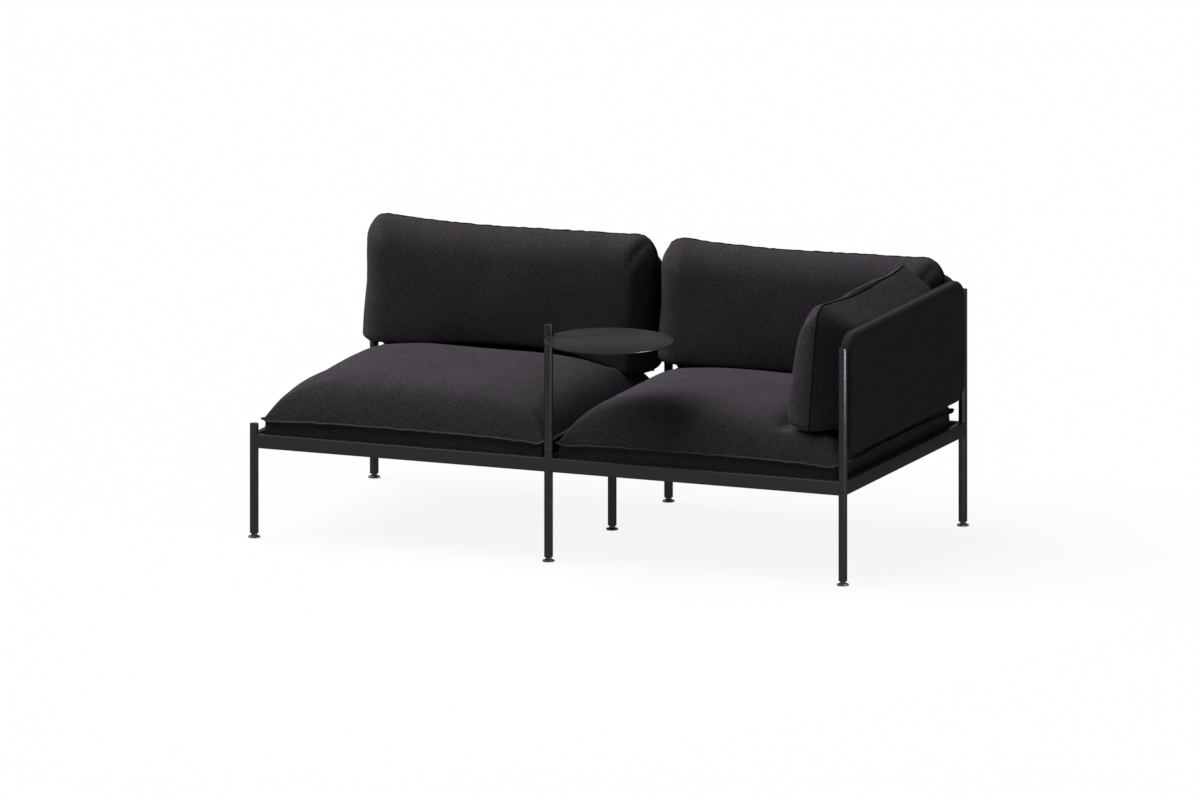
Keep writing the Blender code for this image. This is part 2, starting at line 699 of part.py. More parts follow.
# Loose cushions: a flat side on the panel, a seam all round, and a face that leans
def loose_section(seam_depth, full_depth):
    front = full_depth - seam_depth
    return (
        (0.024, 0.0),
        (0.001, seam_depth * 0.45),
        (0.002, seam_depth - 0.008),
        (-LIP, seam_depth),
        (0.002, seam_depth + 0.008),
        (FACE_INSET * 0.45, seam_depth + front * 0.50),
        (FACE_INSET, None),
    )


def add_loose(name, width, depths, leans, location, rotation):
    """depths are those of the seam, the bottom and the top; leans those of each end."""
    seam_depth, depth_bottom, depth_top = depths
    lines_a = (0, 0.07, 0.36, 0.64, 0.93, 1)
    lines_b = (0, 0.14, 0.50, 0.84, 1)

    def face(a, b):
        full = depth_bottom + (depth_top - depth_bottom) * b / CUSHION_HEIGHT
        up = rise(min(a, width - a, CUSHION_HEIGHT - b), CUSHION_REACH)
        return seam_depth + (full - seam_depth) * up

    def shift(a, b):
        """Draws the ends in above the bottom corners, lifts the top ones, and leans."""
        high = min(max(b / CUSHION_HEIGHT, 0), 1)
        ends = (0.5 - a / width) * 2
        draw = ends * SIDE_DRAW * (1 - (1 - high) ** 3)
        lean = leans[0] + (leans[1] - leans[0]) * a / width
        return draw - lean * b, CUSHION_EAR * high * max(abs(ends) - 0.6, 0) / 0.4

    section = loose_section(seam_depth, (depth_bottom + depth_top) / 2)
    mesh = soft_mesh(name, width, CUSHION_HEIGHT, (lines_a, lines_b), section,
                     (0, CUSHION_CORNER), face, shift, LOW_SHARE)
    add_soft(name, mesh, location, rotation)


back_depths = (BACK_SEAM_DEPTH, BACK_DEPTH_BOTTOM, BACK_DEPTH_TOP)
back_width = MODULE_WIDTH - 2 * BACK_SIDE_INSET
right_back_start = MODULE_WIDTH + BACK_SIDE_INSET
add_loose("back_cushion_left", back_width, back_depths, (0, 0),
          (BACK_SIDE_INSET, BACK_FACE_Y, CUSHION_BOTTOM), ALONG_Y)
add_loose("back_cushion_right", ARM_FACE_X - BACK_ARM_CLEARANCE - right_back_start,
          back_depths, (0, 0), (right_back_start, BACK_FACE_Y, CUSHION_BOTTOM), ALONG_Y)

# The arm cushion's back end follows the leaning face of the back cushion behind it
back_lean = (BACK_DEPTH_BOTTOM - BACK_DEPTH_TOP) / CUSHION_HEIGHT
arm_back = BACK_FACE_Y - BACK_DEPTH_BOTTOM - LIP - ARM_BACK_CLEARANCE
add_loose("arm_cushion", arm_back - ARM_FRONT,
          (ARM_SEAM_DEPTH, ARM_DEPTH_BOTTOM, ARM_DEPTH_TOP), (back_lean, ARM_FRONT_LEAN),
          (ARM_FACE_X, arm_back, CUSHION_BOTTOM), (radians(90), 0, radians(-90)))
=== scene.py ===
import bpy
import bmesh
import json
import numpy as np
from math import cos, exp, pi, radians, sin, sqrt
from mathutils import Matrix, Vector


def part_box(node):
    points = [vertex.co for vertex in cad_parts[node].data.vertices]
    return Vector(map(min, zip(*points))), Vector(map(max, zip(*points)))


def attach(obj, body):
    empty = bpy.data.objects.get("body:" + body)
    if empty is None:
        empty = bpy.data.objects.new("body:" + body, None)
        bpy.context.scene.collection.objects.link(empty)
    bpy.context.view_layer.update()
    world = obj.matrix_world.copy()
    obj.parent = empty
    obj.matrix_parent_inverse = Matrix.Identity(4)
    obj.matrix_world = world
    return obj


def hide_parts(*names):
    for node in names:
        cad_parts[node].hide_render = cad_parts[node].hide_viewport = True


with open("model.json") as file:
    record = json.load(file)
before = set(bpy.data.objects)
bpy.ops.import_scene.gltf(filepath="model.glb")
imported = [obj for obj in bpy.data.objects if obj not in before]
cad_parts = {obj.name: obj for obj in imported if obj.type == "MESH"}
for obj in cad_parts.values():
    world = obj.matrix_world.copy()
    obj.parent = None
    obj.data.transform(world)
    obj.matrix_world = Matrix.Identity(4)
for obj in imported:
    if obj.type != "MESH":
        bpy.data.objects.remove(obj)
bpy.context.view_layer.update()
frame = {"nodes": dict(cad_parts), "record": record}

nodes = frame["nodes"]
scene = bpy.context.scene
print("frame loaded:", len(nodes), "nodes")

# The layout is written from the front left leg's axis: X to the right, Y to the back
legLow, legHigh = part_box("leg_front_left")
layout = Vector(((legLow[0] + legHigh[0]) / 2, (legLow[1] + legHigh[1]) / 2, 0))
frameSizes = {"moduleWidth": 0.900, "moduleDepth": 0.905, "supportY": 0.480}
moduleWidth, moduleDepth = frameSizes["moduleWidth"], frameSizes["moduleDepth"]
legSpots = {
    "front_left": (0, 0), "front_middle": (moduleWidth, 0), "front_right": (2 * moduleWidth, 0),
    "back_left": (0, moduleDepth), "back_middle": (moduleWidth, moduleDepth),
    "back_right": (2 * moduleWidth, moduleDepth), "support": (moduleWidth, frameSizes["supportY"]),
}


# helpers for node trees: each input is a fixed value or another node's output
def feed(tree, node, inputs):
    for socket, value in inputs.items():
        if hasattr(value, "is_linked"):
            tree.links.new(value, node.inputs[socket])
        else:
            node.inputs[socket].default_value = value


def addNode(tree, kind, inputs=None, **settings):
    node = tree.nodes.new(kind)
    for key, value in settings.items():
        setattr(node, key, value)
    feed(tree, node, inputs or {})
    return node


def calc(tree, operation, *values):
    node = addNode(tree, "ShaderNodeMath", dict(enumerate(values)), operation=operation)
    return node.outputs[0]


def vectorCalc(tree, operation, *values):
    node = addNode(tree, "ShaderNodeVectorMath", dict(enumerate(values)), operation=operation)
    return node.outputs[0]


def scaled(tree, vector, factor):
    inputs = {0: vector, "Scale": factor}
    return addNode(tree, "ShaderNodeVectorMath", inputs, operation="SCALE").outputs[0]


def blendColor(tree, share, a, b):
    return addNode(tree, "ShaderNodeMix", {0: share, 6: a, 7: b}, data_type="RGBA").outputs[2]


def blendNumber(tree, share, a, b):
    return addNode(tree, "ShaderNodeMix", {0: share, 2: a, 3: b}, data_type="FLOAT").outputs[0]


def noiseAt(tree, vector, scale, detail, rough):
    inputs = {"Vector": vector, "Scale": scale, "Detail": detail, "Roughness": rough}
    return addNode(tree, "ShaderNodeTexNoise", inputs).outputs[0]


def fromMiddle(tree, color):
    # a noise's colour as a way to move, between -0.5 and 0.5
    return vectorCalc(tree, "SUBTRACT", color, (0.5, 0.5, 0.5))


def mapped(tree, value, low, high, toLow=0.0, toHigh=1.0):
    inputs = dict(enumerate((value, low, high, toLow, toHigh)))
    return addNode(tree, "ShaderNodeMapRange", inputs).outputs[0]


def splitXYZ(tree, vector):
    return addNode(tree, "ShaderNodeSeparateXYZ", {0: vector}).outputs


def addBump(tree, shader, height, strength, distance):
    inputs = {"Strength": strength, "Distance": distance, "Height": height}
    feed(tree, shader, {"Normal": addNode(tree, "ShaderNodeBump", inputs).outputs[0]})


def newGroup(name, inputs, outputs):
    tree = bpy.data.node_groups.new(name, "ShaderNodeTree")
    for label, kind, value in inputs:
        socket = tree.interface.new_socket(name=label, in_out="INPUT", socket_type=kind)
        if value is not None:
            socket.default_value = value
    for label in outputs:
        tree.interface.new_socket(name=label, in_out="OUTPUT", socket_type="NodeSocketFloat")
    return tree, addNode(tree, "NodeGroupInput").outputs, addNode(tree, "NodeGroupOutput")


def newMaterial(name):
    material = bpy.data.materials.new(name)
    material.use_nodes = True
    tree = material.node_tree
    return material, tree, tree.nodes["Principled BSDF"]


# fabric: a plain weave of felted, mixed wool yarns, drawn on each piece's own weave map.
# A noise is given by its scale, detail and roughness
weaveSettings = {
    "wanderScale": 60, "wander": 0.0016, "yarnPower": 0.6, "feltShare": 0.7,
    "fibre": (900, 3, 0.65), "felt": (330, 3, 0.6), "nub": (300, 1.5, 0.7),
    "tone": (1.0, 2, 0.6), "warpStretch": (560, 90, 1), "weftStretch": (90, 560, 1),
    "fleck": (420, 2, 0.5), "fleckRange": (0.58, 0.78), "fleckTone": 0.35,
}


def makeWeaveGroup():
    s = weaveSettings
    tree, given, out = newGroup("woolWeave", [
        ("Weave Map", "NodeSocketVector", None), ("Place", "NodeSocketVector", None),
        ("Yarn Pitch", "NodeSocketFloat", 0.0018), ("Felting", "NodeSocketFloat", 0.5),
        ("Fleck", "NodeSocketFloat", 0.5)], ("Height", "Yarn Tone", "Fibre", "Nub"))
    weaveMap, place = given["Weave Map"], given["Place"]
    perYarn = calc(tree, "DIVIDE", 1.0, given["Yarn Pitch"])
    # the yarns wander a little
    wander = addNode(tree, "ShaderNodeTexNoise",
                     {"Vector": weaveMap, "Scale": s["wanderScale"], "Detail": 2})
    moved = vectorCalc(tree, "MULTIPLY_ADD", fromMiddle(tree, wander.outputs["Color"]),
                       (s["wander"], s["wander"], 0), weaveMap)
    apart = splitXYZ(tree, moved)
    u = calc(tree, "MULTIPLY", apart[0], perYarn)
    v = calc(tree, "MULTIPLY", apart[1], perYarn)
    rowU, rowV = calc(tree, "FLOOR", u), calc(tree, "FLOOR", v)

    def yarn(across, along, row):
        rounded = calc(tree, "SINE", calc(tree, "MULTIPLY", calc(tree, "FRACT", across), pi))
        wave = calc(tree, "COSINE", calc(tree, "MULTIPLY", calc(tree, "ADD", along, row), pi))
        over = calc(tree, "MULTIPLY_ADD", wave, 0.5, 0.5)
        return calc(tree, "MULTIPLY", calc(tree, "POWER", rounded, s["yarnPower"]), over)

    warp = yarn(u, v, rowU)
    weft = yarn(v, calc(tree, "ADD", u, 1.0), rowV)
    woven = calc(tree, "MAXIMUM", warp, weft)
    fibre = noiseAt(tree, place, *s["fibre"])
    felt = noiseAt(tree, place, *s["felt"])
    fuzz = calc(tree, "MULTIPLY_ADD", felt, s["feltShare"],
                calc(tree, "MULTIPLY", fibre, 1 - s["feltShare"]))
    # tone along each yarn: warp and weft carry their own mixed fibres
    warpTone = noiseAt(tree, vectorCalc(tree, "MULTIPLY", moved, s["warpStretch"]), *s["tone"])
    weftTone = noiseAt(tree, vectorCalc(tree, "MULTIPLY", moved, s["weftStretch"]), *s["tone"])
    tone = blendNumber(tree, calc(tree, "GREATER_THAN", warp, weft), weftTone, warpTone)
    fleck = mapped(tree, noiseAt(tree, place, *s["fleck"]), *s["fleckRange"])
    flecked = calc(tree, "MULTIPLY_ADD", calc(tree, "MULTIPLY", fleck, given["Fleck"]),
                   s["fleckTone"], tone)
    feed(tree, out, {"Height": blendNumber(tree, given["Felting"], woven, fuzz),
                     "Yarn Tone": flecked, "Fibre": fuzz, "Nub": noiseAt(tree, place, *s["nub"])})
    return tree


weaveGroup = makeWeaveGroup()


def makeWool(name, finish):
    material, tree, shader = newMaterial(name)
    place = addNode(tree, "ShaderNodeTexCoord").outputs["Object"]
    weaveMap = addNode(tree, "ShaderNodeUVMap", uv_map="weave").outputs[0]
    inputs = {key: finish[key] for key in ("Yarn Pitch", "Felting", "Fleck")}
    weave = addNode(tree, "ShaderNodeGroup", node_tree=weaveGroup)
    feed(tree, weave, {"Weave Map": weaveMap, "Place": place, **inputs})
    made = weave.outputs
    tone = mapped(tree, made["Yarn Tone"], *finish["toneRange"])
    color = blendColor(tree, tone, (*finish["dark"], 1), (*finish["light"], 1))
    patch = mapped(tree, noiseAt(tree, place, *finish["patch"]), 0.35, 0.65,
                   1 - finish["patchTone"], 1 + finish["patchTone"])
    nub = mapped(tree, made["Nub"], 0.32, 0.68, 1 - finish["mottle"], 1 + finish["mottle"])
    patch = calc(tree, "MULTIPLY", patch, nub)
    # painted sheen: the base colour is lighter where the cloth is seen edge on, for the nap's
    # sheen
    facing = addNode(tree, "ShaderNodeLayerWeight", {"Blend": 0.5}).outputs["Facing"]
    paintedSheen = mapped(tree, facing, *finish["paintedSheenRange"], 1, 1 + finish["paintedSheen"])
    patch = calc(tree, "MULTIPLY", patch, paintedSheen)
    rough = mapped(tree, made["Fibre"], 0.3, 0.7, *finish["roughness"])
    feed(tree, shader, {
        "Base Color": scaled(tree, color, patch), "Roughness": rough,
        "Specular IOR Level": 0.0, "Sheen Weight": finish["sheen"],
        "Sheen Roughness": finish["sheenRoughness"], "Sheen Tint": (*finish["sheenTint"], 1)})
    height = calc(tree, "ADD", made["Height"], calc(tree, "MULTIPLY", made["Nub"],
                                                    finish["nubHeight"]))
    addBump(tree, shader, height, finish["bump"], finish["bumpDepth"])
    return material


coverFinish = {
    "dark": (0.0248, 0.0223, 0.0250), "light": (0.0572, 0.0518, 0.0592), "Yarn Pitch": 0.0018,
    "Felting": 0.55, "Fleck": 0.6, "toneRange": (0.30, 0.72), "patch": (14, 3, 0.55),
    "patchTone": 0.05, "mottle": 0.30, "roughness": (0.82, 0.97), "bump": 0.8,
    "bumpDepth": 0.0010, "nubHeight": 1.5, "sheen": 0.01, "sheenRoughness": 0.45,
    "sheenTint": (0.80, 0.76, 0.82), "paintedSheen": 1.05, "paintedSheenRange": (0.10, 1.0),
}
# the panels' wool is less felted, and its colour is the cover's made darker: painted shade for the
# panels' dimmer light
shadedPanelFinish = dict(coverFinish, dark=(0.0203, 0.0183, 0.0205), light=(0.0469, 0.0425, 0.0485),
                   Felting=0.45)
# painted shade: the loose cushions' sewn edges are the cover's wool made darker, for the shade in
# their pinched seams, with no painted sheen
shadedEdgeFinish = dict(coverFinish, dark=(0.010, 0.009, 0.010), light=(0.022, 0.020, 0.022), paintedSheen=0.0)
coverWool = makeWool("charcoal wool cover", coverFinish)
shadedPanelWool = makeWool("charcoal wool panel with painted shade", shadedPanelFinish)
shadedEdgeWool = makeWool("sewn edge with painted shade", shadedEdgeFinish)


# powder coat, plastic, zinc and plywood
def makeSpeckGroup():
    tree, given, out = newGroup("fineSpeck", [
        ("Place", "NodeSocketVector", None), ("Grain Scale", "NodeSocketFloat", 1500.0),
        ("Cloud Scale", "NodeSocketFloat", 20.0)], ("Grain", "Cloud"))
    feed(tree, out, {"Grain": noiseAt(tree, given["Place"], given["Grain Scale"], 2, 0.5),
                     "Cloud": noiseAt(tree, given["Place"], given["Cloud Scale"], 4, 0.5)})
    return tree


speckGroup = makeSpeckGroup()


# a finish has its color and the share it varies by, a pair of roughness values, how metallic
# it is, the strength and the edge tint of its gloss, and its bump and grain scale
def makeCoated(name, finish):
    material, tree, shader = newMaterial(name)
    place = addNode(tree, "ShaderNodeTexCoord").outputs["Object"]
    speck = addNode(tree, "ShaderNodeGroup", node_tree=speckGroup)
    feed(tree, speck, {"Place": place, "Grain Scale": finish["grain"]})
    share = mapped(tree, speck.outputs["Grain"], 0.3, 0.7)
    lighter = [min(channel * (1 + finish["variation"]), 1) for channel in finish["color"]]
    darker = [channel * (1 - finish["variation"]) for channel in finish["color"]]
    rough = mapped(tree, speck.outputs["Cloud"], 0.3, 0.7, *finish["roughness"])
    feed(tree, shader, {
        "Base Color": blendColor(tree, share, (*darker, 1), (*lighter, 1)), "Roughness": rough,
        "Metallic": finish["metallic"], "Specular IOR Level": finish["gloss"],
        "Specular Tint": (*[finish["edgeTint"]] * 3, 1)})
    addBump(tree, shader, speck.outputs["Grain"], finish["bump"], 0.0002)
    return material


coatFinish = {"color": (0.037, 0.0357, 0.0392), "variation": 0.10, "roughness": (0.29, 0.36),
              "metallic": 0.5, "gloss": 0.02, "edgeTint": 0.12, "bump": 0.25, "grain": 1400.0}
plasticFinish = {"color": (0.024, 0.024, 0.025), "variation": 0.08, "roughness": (0.34, 0.44),
                 "metallic": 0.0, "gloss": 0.5, "edgeTint": 1.0, "bump": 0.2, "grain": 1100.0}
zincFinish = {"color": (0.20, 0.20, 0.195), "variation": 0.12, "roughness": (0.28, 0.42),
              "metallic": 1.0, "gloss": 0.5, "edgeTint": 1.0, "bump": 0.2, "grain": 700.0}
coatedSteel = makeCoated("dark powder coat", coatFinish)
blackPlastic = makeCoated("black plastic", plasticFinish)
zincSteel = makeCoated("zinc plated steel", zincFinish)


def makeBirch(name, finish):
    material, tree, shader = newMaterial(name)
    coordinates = addNode(tree, "ShaderNodeTexCoord").outputs
    place = coordinates["Object"]
    grain = noiseAt(tree, vectorCalc(tree, "MULTIPLY", place, finish["grainStretch"]), 1.0, 5, 0.6)
    rings = noiseAt(tree, vectorCalc(tree, "MULTIPLY", place, finish["ringStretch"]), 1.0, 3, 0.5)
    mixed = calc(tree, "MULTIPLY_ADD", rings, 0.5, calc(tree, "MULTIPLY", grain, 0.5))
    color = blendColor(tree, mapped(tree, mixed, 0.35, 0.65), (*finish["dark"], 1),
                       (*finish["light"], 1))
    # the plies show on the edges as thin bands in height
    height = splitXYZ(tree, place)[2]
    ply = calc(tree, "FRACT", calc(tree, "MULTIPLY", height, 1 / finish["ply"]))
    fromPly = calc(tree, "ABSOLUTE", calc(tree, "SUBTRACT", ply, 0.5))
    band = mapped(tree, fromPly, 0.20, 0.30, finish["plyTone"], 1.0)
    upward = splitXYZ(tree, coordinates["Normal"])[2]
    flat = calc(tree, "GREATER_THAN", calc(tree, "ABSOLUTE", upward), 0.5)
    shade = calc(tree, "MAXIMUM", band, flat)
    feed(tree, shader, {"Base Color": scaled(tree, color, shade),
                        "Roughness": mapped(tree, grain, 0.3, 0.7, *finish["roughness"])})
    addBump(tree, shader, grain, 0.2, 0.0003)
    return material


# the decks are coloured dark: the photograph shows no pale wood between the cushions and the rails
birchFinish = {"dark": (0.034, 0.030, 0.028), "light": (0.060, 0.053, 0.048), "ply": 0.0028,
               "plyTone": 0.72, "roughness": (0.5, 0.68), "grainStretch": (6, 90, 700),
               "ringStretch": (1.5, 14, 30)}
birchPly = makeBirch("dark birch plywood", birchFinish)
print("materials made")


# helpers for pieces
def addPiece(name, mesh, material, replaced, body="frame", smoothAngle=40):
    piece = bpy.data.objects.new(name, mesh)
    scene.collection.objects.link(piece)
    mesh.materials.clear()
    mesh.materials.append(material)
    mesh.polygons.foreach_set("use_smooth", [True] * len(mesh.polygons))
    if smoothAngle:
        mesh.set_sharp_from_angle(angle=radians(smoothAngle))
    if replaced:
        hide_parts(*replaced)
    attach(piece, body)
    return piece


def axisOf(nodeName):
    # a CAD node's middle in the layout, its bottom and its top
    low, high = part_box(nodeName)
    return ((low[0] + high[0]) / 2 - layout.x, (low[1] + high[1]) / 2 - layout.y, low[2], high[2])


def lathe(shape, profile, sides, x, y):
    # turns (radius, height) pairs, listed down the outer side, into a shape about an upright axis
    rings = []
    for radius, height in profile:
        if radius < 1e-7:
            rings.append([shape.verts.new((x, y, height))])
            continue
        rings.append([shape.verts.new((x + radius * cos(2 * pi * i / sides),
                                       y + radius * sin(2 * pi * i / sides),
                                       height)) for i in range(sides)])
    for upper, lower in zip(rings, rings[1:]):
        for i in range(sides):
            j = (i + 1) % sides
            if len(upper) == 1:
                shape.faces.new((upper[0], lower[i], lower[j]))
            elif len(lower) == 1:
                shape.faces.new((upper[i], lower[0], upper[j]))
            else:
                shape.faces.new((upper[i], lower[i], lower[j], upper[j]))
    return rings


def joinRings(shape, first, last, sides):
    for i in range(sides):
        j = (i + 1) % sides
        shape.faces.new((first[i], last[i], last[j], first[j]))


def finishMesh(shape, name):
    bmesh.ops.recalc_face_normals(shape, faces=shape.faces)
    bmesh.ops.translate(shape, verts=shape.verts, vec=layout)
    mesh = bpy.data.meshes.new(name)
    shape.to_mesh(mesh)
    shape.free()
    return mesh


# frame tubes
tubeSettings = {"radius": 0.0125, "wall": 0.002, "edge": 0.0005, "sides": 72}


def tubeMesh(name, x, y, bottom, top):
    radius, bore = tubeSettings["radius"], tubeSettings["radius"] - tubeSettings["wall"]
    edge, sides = tubeSettings["edge"], tubeSettings["sides"]
    shape = bmesh.new()
    rings = lathe(shape, [(bore, top), (radius - edge, top), (radius, top - edge),
                          (radius, bottom + edge), (radius - edge, bottom), (bore, bottom)],
                  sides, x, y)
    joinRings(shape, rings[-1], rings[0], sides)
    return finishMesh(shape, name)


for nodeName in ("leg_front_left", "leg_front_middle", "leg_support", "post_front_right",
                 "post_back_left", "post_back_middle", "post_back_right", "table_pole"):
    body = "side_table" if nodeName == "table_pole" else "frame"
    addPiece("tube_" + nodeName, tubeMesh(nodeName, *axisOf(nodeName)), coatedSteel,
             (nodeName,), body)

# rails: a rolled section whose ends are coped to the round tubes
railSettings = {"height": 0.040, "width": 0.020, "corner": 0.0026, "top": 0.300,
                "into": 0.0008, "steps": 5}
ledgeSettings = {"width": 0.022, "thickness": 0.003, "rise": 0.003, "endGap": 0.030,
                 "into": 0.001, "edge": 0.0006}


def railMesh(name, start, end, ledges):
    # start and end are leg axes. Each ledge is the side, -1 or 1, that it stands out on.
    width, height, corner = (railSettings[key] for key in ("width", "height", "corner"))
    top = railSettings["top"]
    alongX = abs(end[0] - start[0]) > abs(end[1] - start[1])
    reach = tubeSettings["radius"] - railSettings["into"]
    outline = []
    for turn in range(4):
        sideA = 1 if turn in (0, 3) else -1
        sideB = 1 if turn in (0, 1) else -1
        for step in range(railSettings["steps"] + 1):
            angle = pi / 2 * (turn + step / railSettings["steps"])
            outline.append((sideA * (width / 2 - corner) + corner * cos(angle),
                            top - height / 2 + sideB * (height / 2 - corner)
                            + corner * sin(angle)))
    shape = bmesh.new()
    ends = []
    for point, inward in ((start, 1), (end, -1)):
        ring = []
        for across, z in outline:
            inset = inward * sqrt(reach ** 2 - across ** 2)
            spot = ((point[0] + inset, point[1] + across, z) if alongX
                    else (point[0] + across, point[1] + inset, z))
            ring.append(shape.verts.new(spot))
        ends.append(ring)
    joinRings(shape, ends[0], ends[1], len(outline))
    shape.faces.new(ends[0])
    shape.faces.new(ends[1])
    for side in ledges:
        low = top - height + ledgeSettings["rise"]
        inner = start[0] + side * (width / 2 - ledgeSettings["into"])
        outer = start[0] + side * (width / 2 + ledgeSettings["width"])
        y1, y2 = start[1] + ledgeSettings["endGap"], end[1] - ledgeSettings["endGap"]
        made = bmesh.ops.create_cube(shape, size=1)["verts"]
        bmesh.ops.scale(shape, verts=made, vec=(abs(outer - inner), y2 - y1,
                                                ledgeSettings["thickness"]))
        bmesh.ops.translate(shape, verts=made, vec=((inner + outer) / 2, (y1 + y2) / 2,
                                                    low + ledgeSettings["thickness"] / 2))
        rim = list({edge for vert in made for edge in vert.link_edges})
        bmesh.ops.bevel(shape, geom=rim, offset=ledgeSettings["edge"], segments=2,
                        affect="EDGES")
    return finishMesh(shape, name)


railRuns = {
    "rail_front_left": ("front_left", "front_middle", ()),
    "rail_front_right": ("front_middle", "front_right", ()),
    "rail_back_left": ("back_left", "back_middle", ()),
    "rail_back_right": ("back_middle", "back_right", ()),
    "rail_side_left": ("front_left", "back_left", (1,)),
    "rail_middle": ("front_middle", "back_middle", (-1, 1)),
    "rail_side_right": ("front_right", "back_right", (-1,)),
}
for nodeName, (first, second, ledges) in railRuns.items():
    mesh = railMesh(nodeName, legSpots[first], legSpots[second], ledges)
    addPiece("welded_" + nodeName, mesh, coatedSteel, (nodeName,))
print("frame made")

# end caps
capSettings = {"thickness": 0.002, "edge": 0.0006, "dome": 0.0003, "sides": 72, "bend": 0.3,
               "flatShare": 0.6, "flatDrop": 0.0001, "plugGap": 0.0003, "plugDepth": 0.008}


def capMesh(name, x, y, top):
    c = capSettings
    radius, edge, bend = tubeSettings["radius"], c["edge"], c["edge"] * c["bend"]
    bore = tubeSettings["radius"] - tubeSettings["wall"] - c["plugGap"]
    under = top - c["thickness"]
    shape = bmesh.new()
    lathe(shape, [(0, top), (radius * c["flatShare"], top - c["flatDrop"]),
                  (radius - edge, top - c["dome"]), (radius - bend, top - c["dome"] - bend),
                  (radius, top - c["dome"] - edge), (radius, under), (bore, under),
                  (bore, under - c["plugDepth"]), (0, under - c["plugDepth"])], c["sides"], x, y)
    return finishMesh(shape, name)


for nodeName in ("cap_front_left", "cap_front_right", "cap_back_left", "cap_back_middle",
                 "cap_back_right", "cap_table_pole"):
    x, y, bottom, top = axisOf(nodeName)
    body = "side_table" if nodeName == "cap_table_pole" else "frame"
    addPiece("end_" + nodeName, capMesh(nodeName, x, y, top), coatedSteel,
             (nodeName,), body)

# levelling feet: a domed pad and a screw turned in one, with a hexagon neck
footSettings = {"padRadius": 0.0174, "padHeight": 0.0075, "rim": 0.0030, "padEdge": 0.0003,
                "domeAngles": (18, 32, 46, 60, 72, 82, 90), "studRadius": 0.004,
                "studTop": 0.039, "studEdge": 0.0006, "sides": 56, "flats": 0.0165,
                "hexHeight": 0.0052, "hexEdgeShare": 0.88, "hexEdge": 0.0009}


def footMesh(name, x, y):
    f = footSettings
    pad, rim, padHeight, stud = f["padRadius"], f["rim"], f["padHeight"], f["studRadius"]
    dome = [(pad * sin(radians(a)), rim + (padHeight - rim) * cos(radians(a)))
            for a in f["domeAngles"]]
    shape = bmesh.new()
    lathe(shape, [(0, f["studTop"]), (stud - f["studEdge"], f["studTop"]),
                  (stud, f["studTop"] - f["studEdge"]), (stud, padHeight)] + dome
          + [(pad, f["padEdge"]), (pad - f["padEdge"], 0), (0, 0)], f["sides"], x, y)
    corner = f["flats"] / sqrt(3)
    hexLow, hexHigh = padHeight - rim, padHeight + f["hexHeight"]
    lathe(shape, [(0, hexHigh), (corner * f["hexEdgeShare"], hexHigh),
                  (corner, hexHigh - f["hexEdge"]), (corner, hexLow), (0, hexLow)], 6, x, y)
    return finishMesh(shape, name)


for corner, (x, y) in legSpots.items():
    addPiece("levelling_" + corner, footMesh(corner, x, y), blackPlastic,
             ("foot_" + corner,), "levelling_foot_" + corner, 30)

# side table: a thin steel top, notched round its pole
tableSettings = {"radius": 0.183, "thickness": 0.003, "top": 0.654, "offset": 0.187,
                 "angle": radians(-1.5), "sides": 240, "edge": 0.0009, "bend": 0.3,
                 "notchGap": 0.0003, "arcPoints": 26}


def tableMesh(name):
    radius, top, offset = (tableSettings[key] for key in ("radius", "top", "offset"))
    notch = tubeSettings["radius"] + tableSettings["notchGap"]
    outline = []
    for step in range(tableSettings["sides"]):
        angle = pi + 2 * pi * (step + 0.5) / tableSettings["sides"]
        point = Vector((offset + radius * cos(angle), radius * sin(angle)))
        if point.length > notch:
            outline.append(point)
    # close the outline with the notch's arc, from the last point back to the first
    a1, a2 = (np.arctan2(point.y, point.x) for point in (outline[-1], outline[0]))
    outline += [Vector((notch * cos(a1 + (a2 - a1) * t), notch * sin(a1 + (a2 - a1) * t)))
                for t in np.linspace(0, 1, tableSettings["arcPoints"])]
    edge, thick = tableSettings["edge"], tableSettings["thickness"]
    bend = edge * tableSettings["bend"]
    shape = bmesh.new()
    count = len(outline)
    inward = []
    for i in range(count):
        along = (outline[(i + 1) % count] - outline[i - 1]).normalized()
        inward.append(Vector((-along.y, along.x)))
    rings = []
    for inset, height in ((edge, top), (bend, top - bend), (0, top - edge),
                          (0, top - thick + edge), (bend, top - thick + bend),
                          (edge, top - thick)):
        rings.append([shape.verts.new((point.x + way.x * inset, point.y + way.y * inset, height))
                      for point, way in zip(outline, inward)])
    for upper, lower in zip(rings, rings[1:]):
        joinRings(shape, upper, lower, count)
    shape.faces.new(rings[0])
    shape.faces.new(rings[-1])
    bmesh.ops.rotate(shape, verts=shape.verts, cent=(0, 0, 0),
                     matrix=Matrix.Rotation(tableSettings["angle"], 3, "Z"))
    bmesh.ops.translate(shape, verts=shape.verts, vec=(*legSpots["front_middle"], 0))
    return finishMesh(shape, name)


addPiece("side_table_top", tableMesh("side_table_top"), coatedSteel,
         ("table_top",), "side_table", 30)

# CAD nodes that stay as they are
keptNodes = {"zinc_steel": zincSteel, "black_plastic": blackPlastic, "birch_plywood": birchPly}
for nodeName, node in nodes.items():
    slotName = next(part["material_slot"] for part in frame["record"]["subparts"]
                    if part["node"] == nodeName)
    if slotName in keptNodes and not nodeName.startswith(("cap_", "foot_")):
        node.data.materials.clear()
        node.data.materials.append(keptNodes[slotName])
print("side table, caps and feet made")


